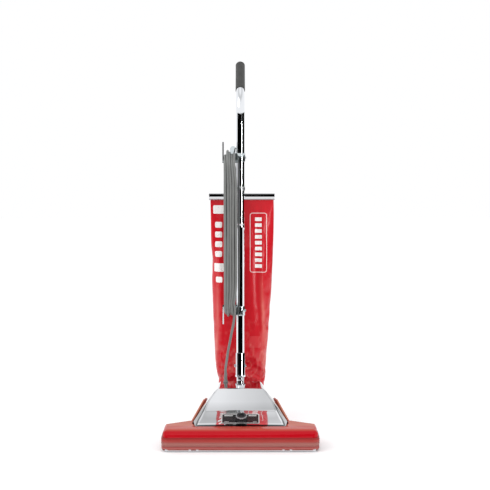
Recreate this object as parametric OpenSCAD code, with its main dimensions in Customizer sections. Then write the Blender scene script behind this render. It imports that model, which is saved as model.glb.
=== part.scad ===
// Commercial upright vacuum cleaner with a wide nozzle, a tube handle and a shake-out bag.
// Millimetres. Front is -Y, +X is the right side seen from the front, +Z is up.
// The origin is under the middle of the machine, on the floor.
// Every module draws with y = 0 at the front of the bumper; in_place() centres it.

/* [Nozzle] */
// Half width of the nozzle casting
nozzle_half = 221; // [215:1:225]
// Height of the nozzle casting's top deck
deck_z = 60; // [58:0.5:62]
// Thickness of the cast walls
wall = 3.5; // [3:0.5:4]

/* [Hood] */
// Half width of the chrome hood at its front lip
lip_half = 132; // [128:1:133]
// Height of the hood's top at the rear
hood_top = 149; // [146:1:150]

/* [Motor] */
// Sideways place of the motor shaft
motor_x = -35; // [-36:1:-34]
// Height of the motor shaft
motor_z = 52; // [51:0.5:53]
// Radius of the motor shaft
shaft_r = 4; // [3.5:0.5:4]

/* [Brush roll] */
// Radius of the brush roll's body
roll_r = 16; // [15:0.5:16]
// Radius to the tips of the bristles
bristle_r = 25; // [23:0.5:25]

/* [Wheels] */
// Radius of a rear wheel
rear_wheel_r = 32; // [30:1:32]
// Radius of a front wheel
front_wheel_r = 14; // [13:0.5:14]

/* [Handle] */
// Outside radius of the handle tube
tube_r = 12.7; // [12:0.1:12.7]
// Height at which the handle starts to bend back
bend_z = 967; // [940:1:980]
// Radius of the bend on the tube's centre line
bend_r = 88; // [80:1:100]
// Angle of the bend, back from upright
bend_angle = 53; // [45:1:55]
// Length of the hand grip
grip_len = 150; // [140:1:155]
// Outside radius of the hand grip
grip_r = 14.5; // [14.3:0.1:15]

/* [Bag] */
// Half length of the slide clamp across the bag's top
clamp_half = 101.5; // [98:0.5:104]
// Sideways tilt of the slide clamp
clamp_tilt = 2; // [0:0.5:3]

/* [Power cord] */
// Radius of the power cord
cord_r = 3.9; // [3.5:0.1:3.9]

/* [Hidden] */
$fn = 48;

// Running clearance between a shaft and its bore
run = 0.05;
// Gap between neighbours that only touch
gap = 0.1;
// The tube's end inside the grip: how far it laps the bend, and how much thicker it is
end_lap = 0.3;
end_swell = 0.02;
// Upright centre line of the handle, as a distance behind the bumper
handle_y = 305;
// The handle's tilt axis
pivot = [322, 72];
// The rear axle, the front axle and the shaft that the front carriage swings on
rear_axle_at = [338, rear_wheel_r];
front_axle_at = [116, front_wheel_r];
carriage_at = [174, 19];
// The brush roll's axis, and the belt's place along it
brush_at = [42, 27];
belt_r = 1.9;
roll_groove_r = 13.5;
pulley_y = 112;
pulley_groove_r = 5.5;
// The pedal's pivot
pedal_at = [316, 50];
// The straight lower slope of the hood, on which the label and the knob sit
slope_start = [76, 59.5];
slope_end = [143, 89];
slope = atan2(slope_end[1] - slope_start[1], slope_end[0] - slope_start[0]);
knob_at = [2.8, 26.5];
// Where the bend ends and the grip starts
grip_y = handle_y + bend_r * (1 - cos(bend_angle));
grip_z = bend_z + bend_r * sin(bend_angle);
grip_round = 8;
// Overall depth, from the bumper to the back of the grip's round end
depth = grip_y + (grip_len - grip_round) * sin(bend_angle)
        + (grip_r - grip_round) * cos(bend_angle) + grip_round;
// The cord's winding on the two hooks: a long loop in the plane across X
wind_z = [391, 807];
wind_r_in = 19.5;
wind_r_out = 43;
wind_x = [-50, -9];
// Handle tube joints
socket_z = [160, 234];
joint_z = 630;
tube_in_r = tube_r - 1.5;
// The slide clamp's middle
clamp_at = [4.7, 378, 712];
// Cord routes, chosen by hand
lead_route = [[-45, 276, 176.3], [-45, 276, 190], [-41.5, 280, 215], [-37, 283, 245],
              [-31, 285, 275], [-25.5, 286, 305], [-20.5, 287, 330], [-18, 288, 352]];
tail_route = [[-8.8, 336, 566], [-5, 335.5, 556], [-1.5, 334.5, 540], [1, 333.5, 522],
              [1.5, 333, 505], [1.5, 333, 492.2]];
plug_at = [1.5, 333, 492];

// ---- helpers ----
function arc(cx, cy, r, a0, a1, n = 8) =
    [for (i = [0:n]) let (a = a0 + (a1 - a0) * i / n) [cx + r * cos(a), cy + r * sin(a)]];
function mirror_x(pts) = concat(pts, [for (i = [len(pts) - 1:-1:0]) [-pts[i][0], pts[i][1]]]);

module in_place() translate([0, -depth / 2, 0]) children();
// An outline in (y, z), extruded along X
module side(x0, x1, pts)
    translate([x0, 0, 0]) rotate([90, 0, 90]) linear_extrude(x1 - x0) polygon(pts);
// An outline in (x, z), extruded along Y
module front(y0, y1, pts)
    translate([0, y1, 0]) rotate([90, 0, 0]) linear_extrude(y1 - y0) polygon(pts);
// An outline in (x, y), extruded along Z
module plan(z0, z1, pts) translate([0, 0, z0]) linear_extrude(z1 - z0) polygon(pts);
module rod_x(x0, x1, at, r) translate([x0, at[0], at[1]]) rotate([0, 90, 0]) cylinder(r = r, h = x1 - x0);
module rod_y(y0, y1, x, z, r) translate([x, y0, z]) rotate([-90, 0, 0]) cylinder(r = r, h = y1 - y0);
module rod_z(z0, z1, x, y, r) translate([x, y, z0]) cylinder(r = r, h = z1 - z0);
module ring_y(y0, y1, x, z, r_in, r_out) difference() {
    rod_y(y0, y1, x, z, r_out);
    rod_y(y0 - 1, y1 + 1, x, z, r_in);
}
module ring_z(z0, z1, x, y, r_in, r_out) difference() {
    rod_z(z0, z1, x, y, r_out);
    rod_z(z0 - 1, z1 + 1, x, y, r_in);
}
module both_sides() {
    children();
    mirror([1, 0, 0]) children();
}
module box(lo, hi) translate(lo) cube(hi - lo);
module on_slope() translate([0, slope_start[0], slope_start[1]]) rotate([slope, 0, 0]) children();

// A closed solid through a list of rings of equal length
function skin_faces(m, n) = concat(
    [[for (i = [0:n - 1]) i]], [[for (i = [n - 1:-1:0]) (m - 1) * n + i]],
    [for (j = [0:m - 2], i = [0:n - 1]) let (k = (i + 1) % n)
        each [[j * n + i, (j + 1) * n + k, j * n + k], [j * n + i, (j + 1) * n + i, (j + 1) * n + k]]]);
module skin(rings) polyhedron([for (r = rings) each r], skin_faces(len(rings), len(rings[0])));

// A tube of n sides swept along a route that runs mostly along Z
function unit(v) = v / norm(v);
function heading(p, i) = unit(p[min(i + 1, len(p) - 1)] - p[max(i - 1, 0)]);
function sweep_ring(c, t, r, n) = let (u = unit(cross([0, 1, 0], t)), v = cross(t, u))
    [for (k = [0:n - 1]) c + r * (cos(360 * k / n) * u + sin(360 * k / n) * v)];
function catmull(a, b, c, d, t) = 0.5 * (2 * b + (c - a) * t + (2 * a - 5 * b + 4 * c - d) * t * t
    + (3 * b - a - 3 * c + d) * t * t * t);
function smooth(p, m) = let (e = len(p) - 1) concat([for (i = [0:e - 1], k = [0:m - 1])
    catmull(p[max(i - 1, 0)], p[i], p[i + 1], p[min(i + 2, e)], k / m)], [p[e]]);
module cord(route, r) {
    p = smooth(route, 2);
    skin([for (i = [0:len(p) - 1]) sweep_ring(p[i], heading(p, i), r, 8)]);
}

// ---- nozzle ----
function rounded_plan(half, y0, y1, r) =
    mirror_x(concat([[half, y1]], arc(half - r, y0 + r, r, 0, -90, 6)));
function deck_profile(inset) = concat(
    [[100 - inset, 8 + inset * -4], [4 + inset, 8 + inset * -4], [4 + inset, 42]],
    arc(24, 42, 20 - inset, 180, 97, 6), [[36, deck_z + 1 - inset], [100 - inset, deck_z - 1.5 - inset]]);
function end_outline(inset) = mirror_x(concat([[nozzle_half - inset, -20], [nozzle_half - inset, 44]],
    arc(nozzle_half - 18, 44, 18 - inset, 0, 90, 6)));

// Recessed roof of the brush chamber, under the hood's lip
roof_profile = [[62.5, 51], [101, 55.5], [101, 90], [62.5, 90]];
module chamber() intersection() {
    union() {
        both_sides() side(139, nozzle_half, deck_profile(wall));
        side(-139.5, 139.5, [[7.5, -6], [7.5, 42], [11, 50], [20, 57], [59, 57], [59, 48.5],
                             [96.5, 52.6], [96.5, -6]]);
    }
    plan(-8, 90, rounded_plan(nozzle_half - wall, 4 + wall, 96.5, 14.5));
    front(0, 120, end_outline(wall));
}
// The rear of the casting: two tapering rails, a floor pan and a low back wall
rail_outer = [[144, 98], [144, 145], [108, 250], [101, 352]];
rail_inner = [[140, 98], [140, 144], [104, 249], [97, 347]];
rail_profile = concat([[97, 12], [97, 58.5], [145, 58.5]], arc(240, 92, 10, 115, 80, 4),
                      [[264, 102], [300, 92], [330, 62], [352, 56], [352, 12]]);
module rear_chassis() {
    difference() {
        intersection() {
            plan(0, 120, mirror_x(rail_outer));
            side(-150, 150, rail_profile);
        }
        plan(-1, 121, mirror_x(rail_inner));
        both_sides() box([56, 340, 38], [96.9, 360, 80]);
    }
    // Floor pan, open under the motor
    difference() {
        plan(16, 19, mirror_x([[107, 226], [97.8, 349]]));
        box([motor_x - 38, 220, 10], [motor_x + 38, 288, 30]);
    }
    // Ears that carry the handle's pins
    both_sides() side(49, 57, concat([[308, 17]], arc(pivot[0], pivot[1], 14, 180, 0, 10), [[336, 17]]));
    // Ears that carry the pedal's pin
    for (x = [-97, -64])
        side(x, x + 5, concat([[309, 17]], arc(pedal_at[0], pedal_at[1], 7, 180, 0, 8), [[323, 17]]));
}
module nozzle_housing() color("#c8102e") difference() {
    union() {
        difference() {
            intersection() {
                union() {
                    side(-nozzle_half, nozzle_half, deck_profile(0));
                    front(70, 100, mirror_x([[nozzle_half, 8], [nozzle_half, 58.5]]));
                }
                plan(0, 90, rounded_plan(nozzle_half, 4, 100, 18));
                front(0, 120, end_outline(0));
            }
            chamber();
            side(-136, 136, roof_profile);
        }
        // Webs between the wide part and the rails
        both_sides() plan(54.5, 58.5, [[nozzle_half - 6, 99], [142, 99], [142, 145], [150, 143]]);
        rear_chassis();
        // Bosses for the bottom plate's latches
        both_sides() rod_z(5.5, 56, 160, 106, 6.5);
    }
    // Way through to the suction duct
    box([motor_x - 20.5, 90, 31], [motor_x + 20.5, 105, 53]);
    both_sides() rod_z(4, 20, 160, 106, 2);
    rod_x(-150, 150, rear_axle_at, 4);
    rod_x(-150, 150, carriage_at, 4);
    rod_x(-60, 60, pivot, 6);
    rod_x(-98, -58, pedal_at, 3);
    // Slots for the brush roll's end caps
    both_sides() box([nozzle_half - wall - 5, 30, -2], [nozzle_half - wall + 0.5, 54, 41]);
}
function guard_plan(half, y0, y1, r) = rounded_plan(half, y0, y1, r);
module guard_band(y0, y1) intersection() {
    difference() {
        union() {
            plan(17, 21, guard_plan(225, 0, 97, 22));
            plan(21, 26, guard_plan(224.2, 0.8, 97, 21.2));
            plan(26, 36, guard_plan(225, 0, 97, 22));
            plan(36, 40, guard_plan(224, 1, 97, 21));
        }
        plan(0, 60, guard_plan(nozzle_half + gap, 4 - gap, 98, 18));
    }
    box([-230, y0, 0], [230, y1, 60]);
}
module bumper() color("#b5323c") guard_band(-1, 34);
module end_guards() color("#6a6c70") guard_band(34.3, 96);
module bottom_plate() color("#d5d8dc") difference() {
    union() {
        plan(3, 4.5, mirror_x([[213, 2], [216, 8], [216, 94]]));
        box([-213, 2, 3], [213, 3.5, 9.4]);
        both_sides() box([118, 1, 3], [146, 3.5, 10]);
    }
    for (x0 = [-203, -99, 3, 105]) box([x0, 20, 0], [x0 + (x0 < 100 && x0 > -100 ? 96 : 98), 64, 10]);
    both_sides() box([125, -1, 5.2], [139, 2, 8.8]);
}
module brush_end_caps() color("#2b2b2e") both_sides() difference() {
    union() {
        box([206, 30.2, 5.2], [nozzle_half - wall + 0.3, 53.8, 40.8]);
        rod_x(194, 210, brush_at, 6);
    }
    box([200, 36, 4], [222, 48, 12]);
}
module brush_roll() color("#3a3b3e") difference() {
    rod_x(-204, 204, brush_at, roll_r);
    both_sides() rod_x(193, 206, brush_at, 6 + run);
    translate([motor_x, brush_at[0], brush_at[1]]) rotate([0, 90, 0]) rotate_extrude()
        polygon([[roll_groove_r, -5], [roll_groove_r, 5], [roll_r + 1, 7], [roll_r + 1, -7]]);
}
// Tufts stand in two spirals, clear of the belt and of the bottom plate's bars
tuft_x = [for (x = [-192:12:192]) if (abs(x - motor_x) > 13 && abs(x) > 5 && abs(abs(x) - 102) > 5) x];
module brush_bristles() color("#1c1c1e")
    for (x = tuft_x, turn = [0, 180])
        translate([x, brush_at[0], brush_at[1]]) rotate([x * 0.75 + turn, 0, 0])
            rod_z(roll_r + gap / 2, bristle_r, 0, 0, 2.6, $fn = 16);

// ---- suction, fan and motor ----
module suction_duct() color("#3d3f43") difference() {
    side(motor_x - 23, motor_x + 23, [[100.2, 29], [100.2, 55.2], [109, 68], [183.8, 78], [183.8, 29]]);
    side(motor_x - 20.5, motor_x + 20.5, [[99, 31.5], [99, 52], [110, 65.5], [185, 75.5], [185, 31.5]]);
}
module fan_case() color("#4a4c50") difference() {
    union() {
        rod_y(184, 222, motor_x, motor_z, 44);
        box([motor_x, 190, 62], [57.8, 216, 84]);
    }
    rod_y(186.5, 219.5, motor_x, motor_z, 41.5);
    box([motor_x, 192, 64], [60, 214, 82]);
    rod_y(180, 190, motor_x, motor_z, 19);
    rod_y(215, 225, motor_x, motor_z, 10);
}
module fan() color("#8d9096") difference() {
    union() {
        rod_y(190, 214, motor_x, motor_z, 9);
        rod_y(211, 213.5, motor_x, motor_z, 38);
        for (a = [0:45:315]) translate([motor_x, 0, motor_z]) rotate([0, a, 0])
            box([8, 196, -1.2], [37.5, 211.5, 1.2]);
    }
    rod_y(180, 220, motor_x, motor_z, shaft_r);
}
module belt_pulley() color("#b8bbc0") translate([motor_x, pulley_y - 6, motor_z]) rotate([-90, 0, 0])
    rotate_extrude() polygon([[shaft_r, 1], [pulley_groove_r, 1], [pulley_groove_r, 8.5],
                              [8, 10.5], [8, 12], [shaft_r, 12]]);
module motor_shaft() color("#c9ccd1") rod_y(104, 283, motor_x, motor_z, shaft_r);
module armature_core() color("#8a6a3c") ring_y(232, 264, motor_x, motor_z, shaft_r, 22.4);
module commutator() color("#b87333") ring_y(267, 275, motor_x, motor_z, shaft_r, 11);
module motor_bearings() color("#d0d3d8") {
    ring_y(223, 231, motor_x, motor_z, shaft_r + run, 8.95);
    ring_y(277, 283.9, motor_x, motor_z, shaft_r + run, 8.95);
}
module field_core() color("#77787c") ring_y(232, 264, motor_x, motor_z, 23, 33.4);
module carbon_brushes() color("#2a2a2a")
    for (s = [-1, 1]) translate([motor_x + s * 17.5, 271, motor_z]) cube([12, 6, 6], center = true);
module motor_housing() color("#5c5f64") difference() {
    rod_y(224, 278, motor_x, motor_z, 36);
    rod_y(226.5, 279, motor_x, motor_z, 33.5);
    rod_y(223, 228, motor_x, motor_z, 9);
}
module motor_bracket() color("#7d8086") difference() {
    rod_y(278.1, 284, motor_x, motor_z, 36);
    rod_y(276, 285, motor_x, motor_z, 9);
    for (a = [30:60:330]) rod_y(276, 285, motor_x + 22 * cos(a), motor_z + 22 * sin(a), 5);
}
module exhaust_duct() color("#4a4c50") difference() {
    union() {
        box([58, 188, 40], [94, 343, 84]);
        rod_y(342, 361.9, 76, 62, 18);
    }
    box([60, 190, 42], [92, 341, 82]);
    box([50, 192, 64], [61, 214, 82]);
    rod_y(335, 363, 76, 62, 16);
}
module bag_ring() color("#c9ccd1") {
    ring_y(349, 358, 76, 62, 18 + gap, 20);
    box([70, 349, 80.5], [82, 358, 88]);
}
// The belt turns a quarter between the shaft's pulley and the brush roll
pull_step = 30;
loop_step = 20;
pull_r = (pulley_groove_r + gap) / cos(pull_step / 2) + belt_r;
loop_r = (roll_groove_r + gap) / cos(loop_step / 2) + belt_r;
belt_path = concat(
    [for (a = [180:-pull_step:0]) [motor_x + pull_r * cos(a), pulley_y, motor_z + pull_r * sin(a)]],
    [[motor_x + 5, 88, 34.5]],
    [for (a = [-62:-loop_step:-262])
        [motor_x, brush_at[0] + loop_r * cos(a), brush_at[1] + loop_r * sin(a)]],
    [[motor_x - 7, 80, 47.2]]);
function belt_heading(i) = let (n = len(belt_path))
    unit(belt_path[(i + 1) % n] - belt_path[(i + n - 1) % n]);
function belt_ring(i) = let (t = belt_heading(i),
                             s = i < 7 ? [0, 1, 0] : [1, 0, 0],
                             u = unit(s - (s * t) * t), v = cross(t, u))
    [for (k = [0:7]) belt_path[i] + belt_r * (cos(45 * k) * u + sin(45 * k) * v)];
module drive_belt() {
    n = len(belt_path);
    color("#222222") polyhedron([for (i = [0:n - 1]) each belt_ring(i)],
        [for (j = [0:n - 1], i = [0:7]) let (k = (i + 1) % 8, q = (j + 1) % n,
            // The ring's start turns by a quarter where the belt twists
            w = j == 6 || j == n - 1 ? twist(j) : 0)
            each [[j * 8 + i, q * 8 + (k + w) % 8, j * 8 + k],
                  [j * 8 + i, q * 8 + (i + w) % 8, q * 8 + (k + w) % 8]]]);
}
// How many ring steps bring ring j+1 nearest to ring j
function twist(j) = let (n = len(belt_path), a = belt_ring(j)[0], b = belt_ring((j + 1) % n),
                         d = [for (p = b) norm(p - a)]) search(min(d), d)[0];

// ---- hood ----
// Stations along Y: [y, top z, half width at the top edge, half width at the base, base z]
hood_stations = [[65, 57, lip_half - 2, lip_half, 52], [70, 58.4, lip_half - 4, lip_half, 52],
    [76, slope_start[1], lip_half - 6, lip_half, 53], [100, 70.07, 119, lip_half + 1, 56],
    [slope_end[0], slope_end[1], 105, 137.5, 58], [166, 105, 96, 130.5, 64], [182, 122, 85, 125, 72],
    [193, 134, 76, 121.3, 77], [200, 140, 71, 119, 80], [209, 143.4, 67.5, 115.9, 84],
    [222, 145, 66, 111.4, 90], [250, 146.5, 64.5, 102, 95], [292, hood_top, 62, 98.8, 88]];
function hood_ring(s, t) = let (w = s[2] - t * 0.8, b = s[3] - t * 1.2, zt = s[1] - t,
        zb = s[4] - (t > 0 ? 30 : 0),
        dx = b - w, dz = zt - s[4], e = min(8, dz * 0.35), k = e * dx / max(dz, 1), side_x = w + k)
    [for (p = [[-b, zb], [-b, s[4]], [-side_x, zt - e], [-w - k * 0.3, zt - e * 0.35], [-w + 4, zt],
               [w - 4, zt], [w + k * 0.3, zt - e * 0.35], [side_x, zt - e], [b, s[4]], [b, zb]])
        [p[0], s[0], p[1]]];
function hood_outer_ring(s) = let (r = hood_ring(s, 0)) [for (i = [1:len(r) - 2]) r[i]];
function at_y(s, y) = [y, s[1], s[2], s[3], s[4]];
hood_inner = concat([at_y(hood_stations[1], 67.5)], [for (i = [2:len(hood_stations) - 2]) hood_stations[i]],
                    [at_y(hood_stations[len(hood_stations) - 1], 289.5)]);
module motor_hood() color("#e3e6ea") difference() {
    skin([for (s = hood_stations) hood_outer_ring(s)]);
    skin([for (s = hood_inner) hood_ring(s, 2.5)]);
    on_slope() translate([knob_at[0], knob_at[1], -20]) cylinder(r = 4.6, h = 40);
    rod_z(130, 160, -45, 276, 6);
    box([54, 285, 94], [70, 295, 116]);
    both_sides() rod_y(60, 70, 126, 55, 1.5);
    both_sides() rod_y(285, 295, 78, 101, 2);
}
module screws() color("#cfd2d6") {
    both_sides() {
        rod_y(63.2, 64.95, 126, 55, 2.5);
        rod_y(64.9, 70, 126, 55, 1.5);
    }
    both_sides() {
        rod_y(292.05, 294.5, 78, 101, 4);
        rod_y(284, 292.1, 78, 101, 2);
    }
    both_sides() {
        rod_z(0.3, 1.1, 160, 106, 4.5);
        rod_z(1, 16, 160, 106, 2);
    }
}
module label_plate() color("#151515") on_slope() difference() {
    box([-55.5, 10, 0.05], [55.5, 57, 0.85]);
    translate([knob_at[0], knob_at[1], -1]) cylinder(r = 5, h = 4);
}
module height_knob() color("#1d1d1f") on_slope() translate([knob_at[0], knob_at[1], 0]) difference() {
    union() {
        translate([0, 0, 1.2]) cylinder(r = 16.5, h = 14.5);
        translate([0, 0, 15.7]) cylinder(r1 = 16.5, r2 = 15, h = 1.5);
    }
    translate([0, 0, 12.4]) cylinder(r = 8, h = 6);
    translate([0, 0, 0]) cylinder(r = 4, h = 11);
    for (a = [0:30:330]) rotate(a) translate([18, 0, 0]) cylinder(r = 2.6, h = 20, $fn = 24);
}
module knob_screw() color("#b8bbc0") on_slope() rod_z(-64, 11, knob_at[0], knob_at[1], 4);
module strain_relief() color("#26272a") {
    rod_z(141, 148.4, -45, 276, 6);
    rod_z(148.35, 151, -45, 276, 8);
    translate([-45, 276, 150.9]) cylinder(r1 = 6.2, r2 = 4.4, h = 25.1);
}
module switch_box() color("#232427") difference() {
    box([52, 264, 92], [71, 289.4, 118]);
    rod_x(53.5, 75, [283, 105], 11.4);
    box([53.5, 283, 94], [75, 290, 116]);
    box([70, 272, 92], [75, 290, 120]);
}
module switch_rocker() color("#c81e2a") difference() {
    rod_x(54.5, 69.5, [283, 105], 11);
    side(50, 75, [[291.2, 103], [300, 96], [300, 114], [291.2, 107]]);
    side(50, 75, [[270, 90], [281, 90], [281, 120], [270, 120]]);
}

// ---- running gear ----
module carriage_shaft() color("#b8bbc0") rod_x(-135, 135, carriage_at, 4);
module arm_outline(r0, r1) polygon(concat(
    arc(carriage_at[0], carriage_at[1], r0, -96, 84, 10),
    arc(front_axle_at[0], front_axle_at[1], r1, 96, 264, 10)));
module wheel_carriage() color("#9ea2a8") difference() {
    union() {
        both_sides() translate([56, 0, 0]) rotate([90, 0, 90]) linear_extrude(3) arm_outline(7, 7);
        both_sides() rod_x(56, 76, carriage_at, 8);
        box([-58, 104, 18.2], [58, 138, 21.2]);
    }
    rod_x(-80, 80, carriage_at, 4 + run);
    rod_x(-80, 80, front_axle_at, 3);
    box([-4, 108, 10], [9.6, 134, 30]);
}
module front_axle() color("#c9ccd1") {
    rod_x(-78, 78, front_axle_at, 3);
    both_sides() rod_x(76.4, 79, front_axle_at, 5.5);
}
module front_wheel() difference() {
    rod_x(61, 76, front_axle_at, front_wheel_r);
    rod_x(60, 77, front_axle_at, 3 + run);
    for (x = [60, 74.5]) rod_x(x, x + 2.5, front_axle_at, 10);
}
module front_hub() difference() {
    rod_x(61, 76, front_axle_at, 7);
    rod_x(60, 77, front_axle_at, 3 + run);
}
module front_wheel_left() color("#8a8d92") mirror([1, 0, 0]) { front_wheel(); front_hub(); }
module front_wheel_right() color("#8a8d92") { front_wheel(); front_hub(); }
module rear_axle() color("#c9ccd1") rod_x(-125.5, 125.5, rear_axle_at, 4);
module axle_caps() color("#d0d3d8") both_sides() difference() {
    rod_x(122.4, 125.4, rear_axle_at, 8);
    rod_x(120, 130, rear_axle_at, 4);
}
module rear_wheel() translate([106, rear_axle_at[0], rear_axle_at[1]])
    rotate([0, 90, 0]) rotate_extrude($fn = 72) polygon(concat(
        [[4 + run, 0], [11, 0], [11, 4], [24, 4], [24, 0]], arc(rear_wheel_r - 2.5, 2.5, 2.5, -90, 0, 4),
        arc(rear_wheel_r - 2.5, 13.5, 2.5, 0, 90, 4),
        [[24, 16], [24, 12], [11, 12], [11, 16], [4 + run, 16]]));
module rear_wheel_left() color("#77797e") mirror([1, 0, 0]) rear_wheel();
module rear_wheel_right() color("#77797e") rear_wheel();
module latch() difference() {
    union() {
        rod_z(1.2, 2.8, 160, 106, 7);
        box([154, 82, 1.2], [166, 106, 2.8]);
        rod_z(2.7, 5.4, 160, 106, 5);
        box([157, 78, 1.2], [163, 83, 2.8]);
    }
    rod_z(0, 8, 160, 106, 2 + run);
}
module latch_right() color("#c9ccd1") latch();
module latch_left() color("#c9ccd1") mirror([1, 0, 0]) latch();
module pivot_pins() color("#c9ccd1") {
    both_sides() rod_x(35, 57, pivot, 6);
    rod_x(-97, -59, pedal_at, 3);
}
module pedal_spring() color("#b8bbc0") for (z = [20.9:3.5:45.5])
    translate([-78, 328, z]) difference() {
        cylinder(r = 5, h = 3.6, center = true);
        cylinder(r = 3.6, h = 5, center = true);
    }
module release_pedal() color("#2a2b2e") difference() {
    union() {
        rod_x(-91.5, -65, pedal_at, 7);
        side(-91, -66, concat([[316, 57]], [[340, 60.5], [374, 66], [379, 64], [379, 61], [374, 60]],
                              [[345, 54.5], [326, 49.3], [316, 43.2]]));
        side(-74, -66, [[316, 56.5], [300, 70.5], [295, 69], [295, 64.5], [309, 50]]);
        rod_x(-74, -38, [298, 67.5], 3);
        // Ribs across the foot plate, which rises to the back
        for (y = [346:6:372]) let (top = 61.8 + (y - 340) * 0.16)
            side(-89, -68, [[y, 60], [y, top], [y + 3, top + 0.4], [y + 3, 60]]);
    }
    rod_x(-92, -64, pedal_at, 3 + run);
}

// ---- handle ----
module handle_fork() color("#aeb2b8") difference() {
    union() {
        both_sides() side(36, 48, concat(arc(pivot[0], pivot[1], 15, -165, 10, 12),
                                         [[330, 100], [313, 124], [297, 124], [297, 112], [305, 88]]));
        front(297, 313, concat(mirror_x([[48, 112], [48, 124], [31, 141], [15, 146]]),
                               [[-36, 112], [-20, 128], [0, 130], [20, 128], [36, 112]]));
        rod_z(138, 203.5, 0, handle_y, tube_in_r + 0.7);
    }
    rod_x(-60, 60, pivot, 6 + run);
    rod_x(-60, 60, [handle_y, 194], 3);
}
module handle_socket() color("#dfe2e6") difference() {
    union() {
        rod_z(socket_z[0], socket_z[1], 0, handle_y, 14.7);
        rod_z(socket_z[0], socket_z[0] + 6, 0, handle_y, 16);
    }
    rod_z(socket_z[0] - 1, 204, 0, handle_y, tube_in_r + 0.75);
    rod_z(203.9, socket_z[1] + 1, 0, handle_y, tube_r + run);
    rod_x(-60, 60, [handle_y, 194], 3);
}
module socket_bolt() color("#d0d3d8") {
    rod_x(-15, 18.4, [handle_y, 194], 3);
    rod_x(-18.8, -14.75, [handle_y, 194], 5);
    translate([14.75, handle_y, 194]) rotate([0, 90, 0]) cylinder(r = 5.5, h = 3.6, $fn = 6);
}
module lower_tube() color("#e3e6ea") difference() {
    union() {
        rod_z(204.2, joint_z, 0, handle_y, tube_r);
        rod_z(joint_z - 14, joint_z, 0, handle_y, tube_r + 0.7);
    }
    rod_z(200, joint_z + 1, 0, handle_y, tube_in_r);
}
module upper_tube() color("#e3e6ea") {
    // Straight part, with its swaged end inside the lower tube
    translate([0, handle_y, 0]) rotate_extrude() polygon([
        [tube_in_r - 1.6, joint_z - 70], [tube_in_r - run, joint_z - 70], [tube_in_r - run, joint_z + 0.2],
        [tube_r, joint_z + 0.2], [tube_r, bend_z], [tube_in_r, bend_z], [tube_in_r, joint_z + 3],
        [tube_in_r - 1.6, joint_z + 3]]);
    translate([0, handle_y + bend_r, bend_z]) rotate([90, 0, -90])
        rotate_extrude(angle = bend_angle, $fn = 96) translate([bend_r, 0]) difference() { circle(tube_r); circle(tube_in_r); }
    // The end inside the grip is a hair thicker and starts just before the bend's end
    translate([0, grip_y, grip_z]) rotate([-bend_angle, 0, 0]) translate([0, 0, -end_lap]) difference() {
        cylinder(r = tube_r + end_swell, h = grip_len - 22);
        translate([0, 0, -1]) cylinder(r = tube_in_r - end_swell, h = grip_len);
    }
}
module grip() color("#555553") translate([0, grip_y, grip_z]) rotate([-bend_angle, 0, 0]) rotate_extrude()
    polygon(concat([[tube_r + run, 2], [grip_r - 1, 2], [grip_r, 3.5]],
                   arc(grip_r - grip_round, grip_len - grip_round, grip_round, 0, 90, 8),
                   [[0, grip_len], [0, grip_len - 20], [tube_r + run, grip_len - 20]]));
// A hook of strip steel: band round the tube, arm through the winding, upturned tip
module hook(arm_z, band_z, tip_z, dome_z, dome_r) {
    ring_z(band_z[0], band_z[1], 0, handle_y, tube_r + run, 15);
    box([-54.4, 297, arm_z[0]], [-12.9, 313, arm_z[1]]);
    box([-54.4, 299, tip_z[0]], [-50.4, 311, tip_z[1]]);
    away = sign(dome_z - arm_z[0]);
    front(303, 307, concat([[-14.6, min(dome_z, arm_z[0])], [-14.6, max(dome_z, arm_z[1])]],
                           arc(-22, dome_z, dome_r, 0, 180 * away, 8), [[-30, arm_z[0]]]));
}
module upper_hook() color("#c3cdd2") {
    hook([816, 822], [820, 845], [816, 879], 858, 9);
    rod_x(14.8, 17.5, [handle_y, 832], 4);
}
module lower_hook() color("#c3cdd2") {
    hook([376, 382], [350, 378], [323, 382], 358, 8);
    rod_x(14.8, 17.5, [handle_y, 364], 4);
}
module bag_hanger() color("#c9ccd1") {
    ring_z(732, 744, 0, handle_y, tube_r + run, 14.4);
    box([-7, 319, 733], [7, 383, 735]);
    box([-7, 381, 727.5], [7, 383, 735]);
    box([-7, 319.01, 733], [7, 321, 744]);
}

// ---- bag ----
module on_clamp() translate(clamp_at) rotate([0, clamp_tilt, 0]) children();
module bag_clamp() color("#cfd2d6") on_clamp() difference() {
    box([-clamp_half, -6.5, -10.5], [clamp_half, 6.5, 10.5]);
    box([-clamp_half - 1, -4.5, -8], [clamp_half + 1, 4.5, 8]);
    box([-clamp_half - 1, -2.6, -12], [clamp_half + 1, 2.6, 0]);
}
// Stations from the neck to the top: [x, y, z, half width, half thickness, ring tilt]
bag_stations = [[76, 362.4, 62, 20, 20, 90], [75, 374, 63, 23, 22, 76], [65, 385, 73, 30, 25, 54],
    [36, 391, 88, 49, 30, 28], [7, 394, 108, 67, 34, 8], [3, 394, 145, 75, 38, 0], [2, 394, 200, 80, 41, 0],
    [3.5, 395, 280, 86, 43.5, 0], [4.5, 395, 350, 90.5, 43.5, 0], [5, 393.5, 430, 94.5, 42, 0],
    [5, 391, 510, 97, 38, 0], [6, 387.5, 590, 98, 31, 0], [6, 382, 655, 98.5, 19, 0], [5.5, 378.5, 690, 98.5, 6, 0]];
function bag_ring_points(s) = [for (k = [0:23]) let (a = 15 * k, c = cos(a), d = sin(a),
        px = s[3] * sign(c) * pow(abs(c), 0.8), py = s[4] * sign(d) * pow(abs(d), 0.85))
    [s[0] + px, s[1] + py * cos(s[5]), s[2] - py * sin(s[5])]];
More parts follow.
